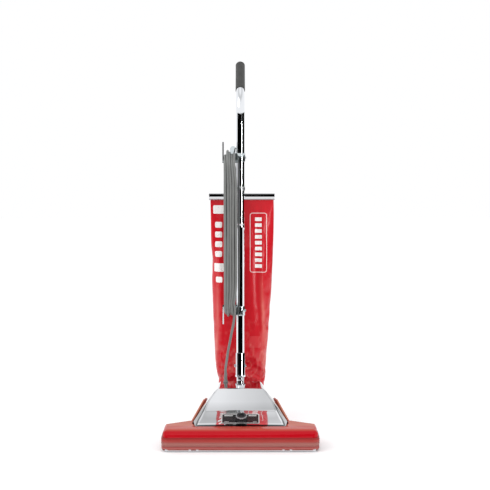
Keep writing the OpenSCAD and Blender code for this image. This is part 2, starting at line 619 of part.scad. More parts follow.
module bag() color("#c81a2c") {
    skin([for (s = bag_stations) bag_ring_points(s)]);
    on_clamp() {
        box([-clamp_half + 3, -2.4, -26], [clamp_half - 3, 2.4, 6]);
        rotate([0, 90, 0]) translate([-3.5, 0, -clamp_half + 3]) cylinder(r = 4, h = 2 * clamp_half - 6);
    }
}

// ---- power cord ----
function loop_outline(r) = concat(arc(handle_y, wind_z[1], r, 0, 180, 16),
                                  arc(handle_y, wind_z[0], r, 180, 360, 16));
module loop_band(x0, x1) difference() {
    side(x0, x1, loop_outline(wind_r_out));
    side(x0 - 1, x1 + 1, loop_outline(wind_r_in));
}
module cord_winding() color("#7d7f80") {
    loop_band(wind_x[0], -15.2);
    intersection() {
        loop_band(-16, wind_x[1]);
        box([-60, 200, wind_z[0] + 6], [0, 400, wind_z[1] - 6]);
    }
}
module cord_lead() color("#7d7f80") cord(lead_route, cord_r);
module cord_tail() color("#7d7f80") cord(tail_route, cord_r);
module plug_body() color("#6f7172") translate(plug_at) {
    translate([0, 0, -26]) cylinder(r1 = 6, r2 = 4.2, h = 26);
    intersection() {
        translate([0, 0, -58]) cylinder(r = 12.5, h = 33);
        box([-10, -12.5, -60], [10, 12.5, 0]);
    }
}
module plug_blades() color("#d8c27a") translate(plug_at) {
    for (y = [-6.35, 6.35]) box([-6.2, y - 0.75, -75], [0.1, y + 0.75, -58.05]);
    translate([5.5, 0, -78]) cylinder(r = 2.4, h = 19.95);
}

in_place() nozzle_housing();
in_place() bumper();
in_place() end_guards();
in_place() bottom_plate();
in_place() suction_duct();
in_place() fan_case();
in_place() motor_hood();
in_place() screws();
in_place() label_plate();
in_place() motor_housing();
in_place() motor_bracket();
in_place() field_core();
in_place() motor_bearings();
in_place() carbon_brushes();
in_place() exhaust_duct();
in_place() bag_ring();
in_place() carriage_shaft();
in_place() rear_axle();
in_place() axle_caps();
in_place() drive_belt();
in_place() brush_end_caps();
in_place() switch_box();
in_place() strain_relief();
in_place() pivot_pins();
in_place() pedal_spring();
in_place() release_pedal();
in_place() switch_rocker();
in_place() height_knob();
in_place() knob_screw();
in_place() wheel_carriage();
in_place() front_axle();
in_place() front_wheel_left();
in_place() front_wheel_right();
in_place() rear_wheel_left();
in_place() rear_wheel_right();
in_place() latch_left();
in_place() latch_right();
in_place() motor_shaft();
in_place() armature_core();
in_place() commutator();
in_place() fan();
in_place() belt_pulley();
in_place() brush_roll();
in_place() brush_bristles();
in_place() handle_fork();
in_place() handle_socket();
in_place() socket_bolt();
in_place() lower_tube();
in_place() upper_tube();
in_place() grip();
in_place() upper_hook();
in_place() lower_hook();
in_place() bag_hanger();
in_place() bag_clamp();
in_place() bag();
in_place() cord_lead();
in_place() cord_winding();
in_place() cord_tail();
in_place() plug_body();
in_place() plug_blades();
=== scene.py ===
import math

import bmesh
import bpy
import numpy as np
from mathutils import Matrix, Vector, noise


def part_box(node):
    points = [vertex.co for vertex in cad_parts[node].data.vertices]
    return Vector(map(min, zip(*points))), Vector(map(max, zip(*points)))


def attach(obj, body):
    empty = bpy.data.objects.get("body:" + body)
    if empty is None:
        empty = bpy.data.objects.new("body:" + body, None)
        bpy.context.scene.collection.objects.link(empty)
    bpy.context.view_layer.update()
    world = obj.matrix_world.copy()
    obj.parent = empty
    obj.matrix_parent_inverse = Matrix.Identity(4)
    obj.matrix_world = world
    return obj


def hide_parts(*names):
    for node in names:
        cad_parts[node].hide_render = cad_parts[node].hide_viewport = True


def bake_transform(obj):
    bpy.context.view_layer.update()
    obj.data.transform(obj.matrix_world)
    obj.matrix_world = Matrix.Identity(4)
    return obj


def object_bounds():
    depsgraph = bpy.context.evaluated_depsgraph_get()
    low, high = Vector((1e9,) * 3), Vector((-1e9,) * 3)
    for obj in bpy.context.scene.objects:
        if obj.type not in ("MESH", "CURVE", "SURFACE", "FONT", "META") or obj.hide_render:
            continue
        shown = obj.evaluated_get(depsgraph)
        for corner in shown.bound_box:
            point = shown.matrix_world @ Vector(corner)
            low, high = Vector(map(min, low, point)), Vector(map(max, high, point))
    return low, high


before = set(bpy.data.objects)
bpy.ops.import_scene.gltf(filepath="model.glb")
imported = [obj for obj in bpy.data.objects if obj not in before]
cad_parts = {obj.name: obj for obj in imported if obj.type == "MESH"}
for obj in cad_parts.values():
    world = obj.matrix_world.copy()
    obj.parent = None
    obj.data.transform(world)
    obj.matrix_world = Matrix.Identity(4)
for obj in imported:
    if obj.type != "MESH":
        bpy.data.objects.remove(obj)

cad_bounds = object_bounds()
FRONT = cad_bounds[0].y  # the front of the bumper; places below are millimetres behind it
MM = 0.001


def at(x, y, z):
    """A place in millimetres, y counted back from the bumper's front, as a point of the frame."""
    return Vector((x * MM, FRONT + y * MM, z * MM))


def clamped(value):
    """A number kept between 0 and 1."""
    return min(1.0, max(0.0, value))


def in_scene(name, data):
    """A new object of the scene that holds the data."""
    thing = bpy.data.objects.new(name, data)
    bpy.context.scene.collection.objects.link(thing)
    return thing


# ---------------------------------------------------------------- camera
CAMERA_FROM_FRONT = 3.1
CAMERA_HEIGHT = 0.79
FOCAL_IN_WIDTHS = 1116.5 / 490
SENSOR_MM = 36.0
NEAR, FAR = 0.1, 60
PITCH_DOWN = 3.77
YAW_RIGHT = 0.24


def make_camera():
    data = bpy.data.cameras.new("view_camera")
    data.sensor_width = SENSOR_MM
    data.lens = FOCAL_IN_WIDTHS * SENSOR_MM
    data.clip_start, data.clip_end = NEAR, FAR
    camera = in_scene("view_camera", data)
    camera.location = (0, FRONT - CAMERA_FROM_FRONT, CAMERA_HEIGHT)
    camera.rotation_euler = (math.radians(90 - PITCH_DOWN), 0, math.radians(-YAW_RIGHT))
    bpy.context.scene.camera = camera


make_camera()


# ---------------------------------------------------------------- materials
class Finish:
    """A new material: its Principled shader, and short ways to add and link nodes."""

    def __init__(self, name):
        self.material = bpy.data.materials.new(name)
        self.material.use_nodes = True
        self.tree = self.material.node_tree
        self.shader = self.tree.nodes["Principled BSDF"]

    def fill(self, node, inputs):
        """Links the inputs that are sockets and sets the ones that are values."""
        for key, value in inputs.items():
            if isinstance(value, bpy.types.NodeSocket):
                self.tree.links.new(value, node.inputs[key])
            else:
                node.inputs[key].default_value = value

    def add(self, kind, inputs, **settings):
        """A new node's outputs."""
        node = self.tree.nodes.new("ShaderNode" + kind)
        for key, value in settings.items():
            setattr(node, key, value)
        self.fill(node, inputs)
        return node.outputs

    def place(self, stretch=(1, 1, 1)):
        """Object coordinates in metres, stretched per axis."""
        return self.add("Mapping", {"Vector": self.add("TexCoord", {})["Object"], "Scale": stretch})["Vector"]

    def split(self, vector):
        return self.add("SeparateXYZ", {0: vector})

    def mark(self, name, output="Fac"):
        """What the mesh stores under a name."""
        return self.add("Attribute", {}, attribute_name=name)[output]

    def calc(self, operation, *values):
        return self.add("Math", dict(enumerate(values)), operation=operation)[0]

    def times(self, first, second):
        return self.calc("MULTIPLY", first, second)

    def ramp(self, value, low, high, at_low=0.0, at_high=1.0):
        """A value that runs from at_low to at_high between low and high."""
        return self.add("MapRange", {0: value, 1: low, 2: high, 3: at_low, 4: at_high})[0]

    def cloud(self, spot, scale, detail, rough=0.5):
        inputs = {"Vector": spot, "Scale": scale, "Detail": detail, "Roughness": rough}
        return self.add("TexNoise", inputs)["Fac"]

    def mix(self, share, low, high):
        """A colour between two, each a socket or three numbers."""
        low, high = [c if isinstance(c, bpy.types.NodeSocket) else (*c, 1) for c in (low, high)]
        return self.add("Mix", {0: share, 6: low, 7: high}, data_type="RGBA")[2]

    def bump(self, height, strength, distance, **under):
        inputs = {"Height": height, "Strength": strength, "Distance": distance, **under}
        return self.add("Bump", inputs)["Normal"]

    def smudged(self, spot, scale, low, high):
        """A roughness that wanders between two values."""
        return self.ramp(self.cloud(spot, scale, 6, 0.7), 0.3, 0.7, low, high)

    def done(self, colour, rough, normal, metallic=0.0, specular=0.5, coat=0.0, coat_rough=0.05):
        """Fills the shader and hands over the material."""
        self.fill(self.shader, {"Base Color": colour, "Roughness": rough, "Normal": normal,
                                "Metallic": metallic, "Specular IOR Level": specular, "Coat Weight": coat,
                                "Coat Roughness": coat_rough})
        return self.material


def colour_stops(node, stops):
    """Fills a colour ramp with (position, colour) pairs."""
    elements = node.color_ramp.elements
    while len(elements) < len(stops):
        elements.new(0.5)
    for element, (position, tone) in zip(elements, stops):
        element.position = position
        element.color = (*tone, 1)


def surface(name, colour, dark=None, rough=0.4, spread=0.1, patches=18, grain=900, bump=0.1, depth=0.0001,
            stretch=(1, 1, 1), **shine):
    """A general finish: colour patches, uneven roughness and fine grain."""
    made = Finish(name)
    spot = made.place()
    tone = made.mix(made.cloud(spot, patches, 5, 0.6), dark or [c * 0.72 for c in colour], colour)
    gloss = made.smudged(spot, patches * 2.3, max(0.01, rough - spread), rough + spread)
    grained = made.bump(made.cloud(made.place(stretch), grain, 4, 0.65), bump, depth)
    return made.done(tone, gloss, grained, **shine)


GREY_RUBBER = surface("grey_rubber", (0.17, 0.175, 0.185), rough=0.5, patches=40, grain=1400, bump=0.3)
STEEL = surface("bright_steel", (0.72, 0.73, 0.75), (0.60, 0.61, 0.63), metallic=1, rough=0.24, spread=0.07,
                grain=120, stretch=(1, 14, 14), bump=0.12, depth=0.00005)
CHROME = surface("mirror_chrome", (0.88, 0.90, 0.92), (0.83, 0.85, 0.88), metallic=1, rough=0.03,
                 spread=0.006, patches=7, grain=60, bump=0.005, depth=0.00001)
POLISHED = surface("polished_steel", (0.80, 0.80, 0.81), (0.72, 0.72, 0.74), metallic=1, rough=0.12,
                   spread=0.05, grain=160, stretch=(0.3, 8, 8), bump=0.05, depth=0.00003)
HOOK_STEEL = surface("hook_plating", (0.70, 0.76, 0.78), (0.58, 0.64, 0.66), metallic=1, rough=0.16,
                     spread=0.06, grain=260, bump=0.06, depth=0.00005)
CAST = surface("cast_metal", (0.44, 0.45, 0.47), (0.34, 0.35, 0.37), metallic=0.9, rough=0.42, grain=700,
               bump=0.4, depth=0.0002)
BLACK_FOIL = surface("label_foil", (0.012, 0.012, 0.013), (0.008, 0.008, 0.009), rough=0.28, grain=500,
                     bump=0.05)
PALE_INK = surface("pale_ink", (0.80, 0.80, 0.79), (0.70, 0.70, 0.69), rough=0.45, patches=120, grain=1200)
BLACK_PLASTIC = surface("dark_plastic", (0.022, 0.022, 0.024), (0.014, 0.014, 0.016), rough=0.34, patches=60,
                        grain=1600, bump=0.3, depth=0.00006)
RED_PLASTIC = surface("red_plastic", (0.55, 0.02, 0.03), rough=0.25, bump=0.08, coat=0.4)
GREY_TREAD = surface("grey_tread", (0.20, 0.20, 0.205), (0.13, 0.13, 0.135), rough=0.55, patches=70,
                     grain=800, bump=0.35, depth=0.0002)
# Grey painted on the knob's rim: a painted highlight
KNOB_RIM_HIGHLIGHT = surface("knob_rim_highlight", (0.30, 0.30, 0.31), (0.22, 0.22, 0.23), rough=0.35, patches=60, grain=1600,
                   bump=0.2, depth=0.00004)
BELT = surface("belt_rubber", (0.020, 0.020, 0.020), rough=0.6, grain=1200, bump=0.3)
LAMINATIONS = surface("core_steel", (0.30, 0.30, 0.31), metallic=0.8, grain=400, stretch=(1, 12, 1), bump=0.5)
COPPER = surface("winding_copper", (0.72, 0.36, 0.18), metallic=1, rough=0.3, grain=500)
CARBON = surface("carbon", (0.03, 0.03, 0.03), rough=0.7, bump=0.4)
ROLL = surface("roll_body", (0.20, 0.205, 0.21), (0.14, 0.145, 0.15), metallic=0.6, rough=0.38, grain=300,
               stretch=(1, 10, 10), bump=0.15)
BRISTLE = surface("bristle", (0.020, 0.020, 0.022), rough=0.5, grain=1500, stretch=(3, 3, 0.4), bump=0.6)
CORD_JACKET = surface("cord_vinyl", (0.210, 0.216, 0.209), (0.14, 0.145, 0.14), rough=0.38, patches=26,
                      grain=1500, bump=0.16, depth=0.00006, coat=0.15, coat_rough=0.3)
BRASS = surface("plug_brass", (0.80, 0.66, 0.36), metallic=1, rough=0.25, grain=300, stretch=(6, 6, 1),
                bump=0.08)


def enamel_material():
    """Baked red enamel, with a painted pale tan sheen on the deck's upward faces and on the rails."""
    made = Finish("red_enamel")
    spot = made.place()
    _, back, height = made.split(spot)
    enamel_red = made.mix(made.cloud(spot, 9, 5, 0.6), (0.42, 0.004, 0.010), (0.48, 0.005, 0.013))
    # Painted sheen: the deck's upward faces and the front of the rails are mixed towards tan, a painted
    # reflection of the bright studio
    upward = made.ramp(made.split(made.add("NewGeometry", {})["Normal"])[2], 0.35, 0.8)
    deck = made.ramp(back, FRONT + 0.062, FRONT + 0.084, 0.0, 0.50)
    rails = made.ramp(height, 0.057, 0.066, 0.0, 0.80)
    fore = made.ramp(back, FRONT + 0.20, FRONT + 0.26, 1.0, 0.15)
    painted_tan_sheen = made.calc("ADD", made.times(deck, upward), made.times(rails, fore))
    return made.done(made.mix(painted_tan_sheen, enamel_red, (0.55, 0.20, 0.125)), made.smudged(spot, 21, 0.18, 0.26),
                     made.bump(made.cloud(spot, 260, 4), 0.05, 0.0001), specular=0.0, coat=0.42,
                     coat_rough=0.04)


# Height above the floor in millimetres, and the bumper's colour there: painted shade in the grooves and under
# the lips, and a pale middle that is partly dust and partly painted highlight
BUMPER_TONES_AND_SHADE = ((3.0, (0.24, 0.09, 0.09)), (5.0, (0.20, 0.012, 0.008)), (6.8, (0.20, 0.012, 0.008)),
                (8.8, (0.39, 0.11, 0.095)), (11.5, (0.37, 0.09, 0.08)), (13.8, (0.31, 0.038, 0.036)),
                (16.4, (0.34, 0.12, 0.105)), (24.5, (0.35, 0.13, 0.11)), (28.0, (0.35, 0.07, 0.06)),
                (32.0, (0.39, 0.042, 0.033)), (35.0, (0.33, 0.025, 0.020)), (39.0, (0.27, 0.017, 0.015)))
BUMPER_TOP = 40


def bumper_material():
    """Worn red rubber: pale across its middle with dust and a painted highlight, with painted shade in the
    grooves and under its lips.
    """
    made = Finish("red_rubber")
    spot = made.place()
    streak = made.ramp(made.cloud(made.place((1, 6, 6)), 22, 6, 0.7), 0.2, 0.8, -0.035, 0.035)
    level = made.calc("ADD", made.times(made.split(spot)[2], 1000.0 / BUMPER_TOP), streak)
    # Painted shade and highlight: the colour is taken by height from the table above
    tone = made.add("ValToRGB", {"Fac": level})["Color"]
    colour_stops(tone.node, [(height / BUMPER_TOP, shade) for height, shade in BUMPER_TONES_AND_SHADE])
    return made.done(tone, 0.42, made.bump(made.cloud(spot, 1400, 4), 0.2, 0.0001), specular=0.25, coat=0.15,
                     coat_rough=0.2)


def hood_material():
    """Polished chrome with painted reflections in its colour: painted dark lines along the creases and the
    lip, and painted shade on its flanks, both read from mesh attributes.
    """
    made = Finish("hood_chrome")
    times, ramp = made.times, made.ramp
    spot = made.place()
    x, y, z = made.split(spot)
    # Painted reflections: the steep face is painted darker to the right and towards its foot, the slope
    # darker towards the left; the lip is painted bright
    steep = times(ramp(x, -0.07, 0.07, 0.83, 0.60), ramp(z, 0.092, 0.110, 0.80, 1.0))
    sloped = times(ramp(x, -0.10, 0.10, 0.66, 0.82), ramp(y, FRONT + 0.0880, FRONT + 0.0900, 1.5, 1.0))
    side = ramp(z, 0.087, 0.091)
    level = made.calc("ADD", times(side, steep), times(made.calc("SUBTRACT", 1.0, side), sloped))
    # Painted shade on the flanks
    level = times(level, made.calc("SUBTRACT", 1.0, times(made.mark("painted_flank_shade"), 0.42)))
    level = made.calc("MINIMUM", times(level, ramp(made.cloud(spot, 7, 5), 0.3, 0.7, 0.96, 1.04)), 0.97)
    tone = made.add("CombineColor", {0: times(level, 0.985), 1: level, 2: times(level, 1.02)})[0]
    # Painted dark lines: shade along the creases and under the lip
    painted_lines = made.mix(made.mark("painted_edge_shade"), tone, (0.02, 0.03, 0.032))
    wavy = made.bump(made.cloud(spot, 5, 1), 1.0, 0.0008)
    return made.done(painted_lines, made.smudged(spot, 19, 0.015, 0.035), wavy, metallic=1.0)


def grip_material():
    """Soft dark vinyl with small pores."""
    made = Finish("grip_vinyl")
    spot = made.place()
    tone = made.mix(made.cloud(spot, 60, 6), (0.030, 0.030, 0.029), (0.062, 0.062, 0.060))
    pores = made.add("TexVoronoi", {"Vector": spot, "Scale": 420})["Distance"]
    return made.done(tone, 0.62, made.bump(pores, 0.55, 0.0006))


PRINT_X, PRINT_Z = 56.0, 570.0
STRIPE_X = -67.5
# Half width, middle height and half height of each stripe
STRIPES = ((17, 672, 13), (11, 625, 9), (11, 595, 9), (11, 565, 9), (11, 535, 9), (17, 493, 13), (11, 455, 9))
SEAM_Y = 392.0


def bag_material():
    """Coated red cloth with a plain printed frame, bars and stripes, placed by the attribute "rest_place"."""
    made = Finish("bag_cloth")
    calc, times = made.calc, made.times
    spot = made.place()
    x, y, z = made.split(made.mark("rest_place", "Vector"))
    in_front = calc("LESS_THAN", y, 384.0)

    def rounded_box(cx, cz, half_x, half_z, corner):
        """Signed distance from a rounded rectangle on the bag's front."""
        dx = calc("SUBTRACT", calc("ABSOLUTE", calc("SUBTRACT", x, cx)), half_x - corner)
        dz = calc("SUBTRACT", calc("ABSOLUTE", calc("SUBTRACT", z, cz)), half_z - corner)
        px, pz = calc("MAXIMUM", dx, 0.0), calc("MAXIMUM", dz, 0.0)
        far = calc("SQRT", calc("ADD", times(px, px), times(pz, pz)))
        near = calc("MINIMUM", calc("MAXIMUM", dx, dz), 0.0)
        return calc("SUBTRACT", calc("ADD", far, near), corner)

    ink = calc("LESS_THAN", calc("ABSOLUTE", rounded_box(PRINT_X, PRINT_Z, 25.5, 91, 7)), 0.75)
    blocks = [(PRINT_X, PRINT_Z + 72 - 18 * k, 10.5, 5.6, 1.5) for k in range(9)]
    blocks += [(STRIPE_X, middle, half, tall, 4) for half, middle, tall in STRIPES]
    for block in blocks:
        ink = calc("MAXIMUM", ink, calc("LESS_THAN", rounded_box(*block), 0.0))
    ink = times(times(ink, in_front), made.ramp(made.cloud(spot, 240, 5), 0.25, 0.40))
    blotch = made.cloud(spot, 11, 6, 0.6)
    tone = made.mix(blotch, (0.50, 0.003, 0.010), (0.60, 0.006, 0.016))
    # Painted highlight: pale salmon along the folds and creases, read from a mesh attribute
    tone = made.mix(times(made.mark("painted_fold_sheen"), 0.8), tone, (0.68, 0.16, 0.13))
    # The folded patch low on the right, and the side seams, are raised and a shade lighter
    patch = times(calc("LESS_THAN", rounded_box(46, 262, 19, 18, 3), 0.0), in_front)
    seam = calc("LESS_THAN", calc("ABSOLUTE", calc("SUBTRACT", y, SEAM_Y)), 1.2)
    sewn = calc("MAXIMUM", patch, seam)
    tone = made.mix(times(sewn, 0.10), tone, (0.85, 0.25, 0.24))
    tone = made.mix(ink, tone, (0.88, 0.86, 0.84))
    warp, weft = [made.add("TexWave", {"Vector": spot, "Scale": 330}, wave_type="BANDS", bands_direction=way)
                  for way in "XZ"]
    weave = made.bump(times(warp["Fac"], weft["Fac"]), 0.12, 0.0002)
    raised = made.bump(sewn, 0.6, 0.0008, Normal=weave)
    wrinkle = made.cloud(made.place((1.0, 1.0, 0.45)), 30, 5, 0.55)
    folds = made.bump(wrinkle, 0.45, 0.0026, Normal=raised)
    made.fill(made.shader, {"Coat Normal": folds})
    return made.done(tone, made.ramp(blotch, 0.3, 0.7, 0.22, 0.36), folds, specular=0.12,
                     coat=made.ramp(z, 400.0, 580.0, 0.6, 0.3), coat_rough=0.14)


HOOD_CHROME = hood_material()
RED_ENAMEL = enamel_material()
RED_RUBBER = bumper_material()
GRIP_VINYL = grip_material()
BAG_CLOTH = bag_material()


# ---------------------------------------------------------------- mesh helpers
def make_piece(name, points, faces, material, smooth_below=40.0):
    """A mesh object; edges sharper than smooth_below degrees stay crisp."""
    mesh = bpy.data.meshes.new(name)
    mesh.from_pydata([tuple(p) for p in points], [], faces)
    mesh.materials.append(material)
    clean(mesh, smooth_below)
    return in_scene(name, mesh)


def clean(mesh, smooth_below):
    """Outward faces, smooth shading and crisp edges."""
    shape = bmesh.new()
    shape.from_mesh(mesh)
    bmesh.ops.recalc_face_normals(shape, faces=shape.faces)
    for face in shape.faces:
        face.smooth = True
    for edge in shape.edges:
        edge.smooth = len(edge.link_faces) != 2 or edge.calc_face_angle() < math.radians(smooth_below)
    shape.to_mesh(mesh)
    shape.free()


def seat(piece, body, slot, *nodes):
    """Puts a piece on its body and hides the CAD shapes it stands in for."""
    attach(piece, body)
    if nodes:
        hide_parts(*nodes)
    return piece


def ring_faces(rings, around, closed=True):
    """Quads between rings of the same length, numbered ring by ring."""
    faces = []
    for j in range(rings - 1):
        for i in range(around if closed else around - 1):
            k = (i + 1) % around
            faces.append((j * around + i, j * around + k, (j + 1) * around + k, (j + 1) * around + i))
    return faces


def capped(rings, around):
    """The two ends of a stack of rings."""
    return [tuple(range(around)), tuple((rings - 1) * around + i for i in range(around))]


def frames_along(path):
    """Directions across a path that don't twist."""
    path = [Vector(p) for p in path]
    headings = []
    for i in range(len(path)):
        headings.append((path[min(i + 1, len(path) - 1)] - path[max(i - 1, 0)]).normalized())
    across = headings[0].orthogonal().normalized()
    result = []
    for heading in headings:
        across = (across - heading * across.dot(heading)).normalized()
        result.append((across.copy(), heading.cross(across)))
    return result


def tube_mesh(path, radii, sides):
    """A closed round tube along a path; radii is one number or one per point."""
    points = []
    if not hasattr(radii, "__len__"):
        radii = [radii] * len(path)
    for centre, radius, (u, v) in zip(path, radii, frames_along(path)):
        for k in range(sides):
            angle = 2 * math.pi * k / sides
            points.append(Vector(centre) + radius * (math.cos(angle) * u + math.sin(angle) * v))
    return points, ring_faces(len(path), sides) + capped(len(path), sides)


def lathe(profile, sides, origin, axis, across=None):
    """A solid of revolution from (radius, height) pairs along an axis; a radius may depend on the angle."""
    axis = Vector(axis).normalized()
    u = Vector(across).normalized() if across else axis.orthogonal().normalized()
    v = axis.cross(u)
    points = []
    for radius, height in profile:
        for k in range(sides):
            angle = 2 * math.pi * k / sides
            r = radius(angle) if callable(radius) else radius
            spoke = math.cos(angle) * u + math.sin(angle) * v
            points.append(Vector(origin) + MM * (height * axis + r * spoke))
    return points, ring_faces(len(profile), sides) + capped(len(profile), sides)


def tint(piece, material, chosen):
    """Gives a second material to the faces whose middle passes the test."""
    piece.data.materials.append(material)
    for face in piece.data.polygons:
        if chosen(face.center):
            face.material_index = 1


def finished(node, material, body, slot, bevel=0.5, sharp=32.0):
    """A CAD shape with its edges broken and its round faces shaded smooth."""
    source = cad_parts[node]
    shape = bmesh.new()
    shape.from_mesh(source.data)
    bmesh.ops.remove_doubles(shape, verts=shape.verts, dist=2e-6)
    bmesh.ops.dissolve_limit(shape, angle_limit=math.radians(0.4), verts=shape.verts, edges=shape.edges)
    if bevel:
        edges = [e for e in shape.edges
                 if len(e.link_faces) == 2 and e.calc_face_angle() > math.radians(sharp)]
        bmesh.ops.bevel(shape, geom=edges, offset=bevel * MM, segments=2, profile=0.6, affect="EDGES",
                        clamp_overlap=True)
    mesh = bpy.data.meshes.new(node + "_finished")
    shape.to_mesh(mesh)
    shape.free()
    mesh.materials.append(material)
    clean(mesh, sharp)
    return seat(in_scene(mesh.name, mesh), body, slot, node)


# ---------------------------------------------------------------- power cord
CORD_R = 3.9
EXIT = (-45, 276, 176.3)
LEAD_ROUTE = [EXIT, (-45, 276, 190), (-41.5, 280, 215), (-37, 283, 245),
              (-31, 285, 275), (-25.5, 286, 305), (-20.5, 287, 330), (-18, 288, 352)]
TAIL_ROUTE = [(-8.8, 336, 566), (-5, 335.5, 556), (-1.5, 334.5, 540), (1, 333.5, 522),
              (1.5, 333, 505), (1.5, 333, 492.2)]
HOOK_Y = 305
LOOP_LOW, LOOP_HIGH = 391, 807
LAYER_R = [23.4, 31.2, 39.0]
LANE_X = [-46.0, -37.9, -29.7, -21.6, -13.4]
ARC_LANE_X = [-46.0, -39.3, -32.7, -26.0, -19.3]
# How far each lane's outer turn stands above or below the others, at the top and at the bottom
LANE_RISE = [-8.0, 5.5, 0.5, -6.0, -2.0]
LANE_SAG = [5.0, -4.0, 3.0, -3.0, 1.0]
# Which layer and lane each turn lies in
TURNS = [(layer, lane) for layer in (2, 0) for lane in (4, 3, 2, 1, 0)] + [(1, lane) for lane in range(5)]
# How freely each layer's turns drift; the share of a run that leads into an arc; points on a run and an arc
LOOSE = [0.0, 0.35, 1.0]
RUN_END = 0.16
RUNS, ARCS = 14, 10


def on_curve(points, value):
    """A place on the Catmull-Rom curve through points, counted in points from the first."""
    last = len(points) - 1
    i = min(int(value), last - 1)
    t = value - i
    a, b, c, d = points[max(i - 1, 0)], points[i], points[i + 1], points[min(i + 2, last)]
    bent, twisted = 2 * a - 5 * b + 4 * c - d, 3 * b - a - 3 * c + d
    return 0.5 * (2 * b + (c - a) * t + bent * t ** 2 + twisted * t ** 3)


def smooth_route(points, steps):
    points = [Vector(p) for p in points]
    return [on_curve(points, k / steps) for k in range(steps * (len(points) - 1))] + [points[-1]]


def lane_at(lane, s):
    """Where a lane lies across at a share of its run: it closes up towards the arcs."""
    near_end = max(0.0, 1 - s / RUN_END) + max(0.0, (s - 1 + RUN_END) / RUN_END)
    return LANE_X[lane] + (ARC_LANE_X[lane] - LANE_X[lane]) * min(1, near_end) ** 2


def winding_turn(index):
    """One turn: up the front run, over the upper hook, down the rear run, under the lower hook."""
    layer, lane = TURNS[index]
    next_layer, next_lane = TURNS[min(index + 1, len(TURNS) - 1)]
    r, r_next = LAYER_R[layer], LAYER_R[next_layer]
    drift = 0.9 * math.sin(index * 2.4)
    tall = LOOP_HIGH - LOOP_LOW
    points = []
    for k in range(RUNS):
        s = k / RUNS
        sway = 0.7 * math.sin(math.pi * s) * math.sin(index * 1.7 + 5 * s)
        points.append((lane_at(lane, s) + sway + drift * (s - 0.5), HOOK_Y - r, LOOP_LOW + tall * s))
    for k in range(ARCS):
        angle = math.pi * k / ARCS
        points.append((ARC_LANE_X[lane] + 0.5 * drift + 0.4 * math.sin(3 * angle + index),
                       HOOK_Y - r * math.cos(angle),
                       LOOP_HIGH + (r + LANE_RISE[lane] * LOOSE[layer]) * math.sin(angle)))
    if index == len(TURNS) - 1:
        for z in (LOOP_HIGH, 780, 740, 700, 660, 620, 590):
            points.append((LANE_X[lane] - (0.6 if z < LOOP_HIGH else 5.0), HOOK_Y + r, z))
        return points
    for k in range(RUNS):
        s = k / RUNS
        points.append((lane_at(lane, s) - drift * (s - 0.5), HOOK_Y + r, LOOP_HIGH - tall * s))
    for k in range(ARCS):
        t = k / ARCS
        ease = t * t * (3 - 2 * t)
        radius = r + (r_next - r) * ease
        points.append((ARC_LANE_X[lane] + (ARC_LANE_X[next_lane] - ARC_LANE_X[lane]) * ease,
                       HOOK_Y + radius * math.cos(math.pi * t),
                       LOOP_LOW - (radius + LANE_SAG[lane] * LOOSE[layer]) * math.sin(math.pi * t)))
    return points


def cord_route():
    """The whole cord, from its exit to the plug, in metres of the frame."""
    lead = smooth_route(LEAD_ROUTE, 6)
    entry = [(-17.2, 277.5, 361.5), (-17.0, 270.5, 372), (-17.5, 267, 383)]
    wound = []
    for index in range(len(TURNS)):
        wound += winding_turn(index)
    control = [lead[-1]] + entry + wound + [(-11.5, 336.2, 577)] + TAIL_ROUTE
    return [at(*p) for p in lead[:-1] + smooth_route(control, 3)]


def make_cord():
    path = cord_route()
    cord = make_piece("power_cord", *tube_mesh(path, CORD_R * MM, 14), CORD_JACKET)
    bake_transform(cord)
    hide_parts("cord_lead", "cord_winding", "cord_tail")
    return cord, path


power_cord, cord_path = make_cord()


PLUG_HALF = 10.0


def make_plug():
    """Moulded plug with a ribbed flexible neck and flat-sided grip."""
    x, y, z = 1.5, 333, 492
    profile = [(0.2, 0), (4.2, 0)]
    for k in range(6):
        top = -1 - 3.6 * k
        r = 4.3 + 0.3 * k
        profile += [(r, top), (r, top - 1.9), (r - 0.7, top - 2.3), (r - 0.7, top - 3.2)]
    profile += [(6.0, -24), (8.4, -27)]
    rows = len(profile)  # the rows after these have flat sides
    profile += [(11.2, -30), (12.3, -34), (12.5, -42), (12.4, -50), (12.0, -55), (11.2, -57.4), (9.5, -58),
                (0.2, -58)]
    points = []
    sides = 40
    for j, (radius, height) in enumerate(profile):
        for k in range(sides):
            angle = 2 * math.pi * k / sides
            px, py = radius * math.cos(angle), radius * math.sin(angle)
            if j >= rows:
                px = max(-PLUG_HALF, min(PLUG_HALF, px))
            points.append(at(x + px, y + py, z + height))
    faces = ring_faces(len(profile), sides) + capped(len(profile), sides)
    moulding = make_piece("plug_moulding", points, faces, CORD_JACKET, 50)
    return seat(moulding, "handle", "cord_vinyl", "plug_body")


plug = make_plug()
plug_pins = finished("plug_blades", BRASS, "handle", "plug_brass", 0.2)


def make_strain_relief():
    """Tapered rubber sleeve with cut ribs, and the nut that clamps it to the hood."""
    profile = [(0.2, 150.9), (5.3, 150.9)]
    for k in range(6):
        low = 152.2 + 3.7 * k
        r = 5.4 - 0.12 * k
        profile += [(r, low), (r, low + 2.3), (r - 0.8, low + 2.7), (r - 0.8, low + 3.4)]
    profile += [(4.5, 174.4), (4.4, 176), (3.95, 176), (3.95, 170), (0.2, 170)]
    centre, up = at(EXIT[0], EXIT[1], 0), (0, 0, 1)
    seat(make_piece("cord_sleeve", *lathe(profile, 32, centre, up), CORD_JACKET, 45), "base", "cord_vinyl")

    def fluted(angle):
        return 7.3 + 0.4 * math.cos(6 * angle) ** 8

    nut = [(0.2, 141), (5.9, 141), (5.9, 148.0), (7.4, 148.0), (fluted, 148.6), (fluted, 150.4), (6.6, 151.2),
           (0.2, 151.2)]
    nut_piece = make_piece("cord_nut", *lathe(nut, 48, centre, up), CORD_JACKET, 40)
    seat(nut_piece, "base", "cord_vinyl", "strain_relief")


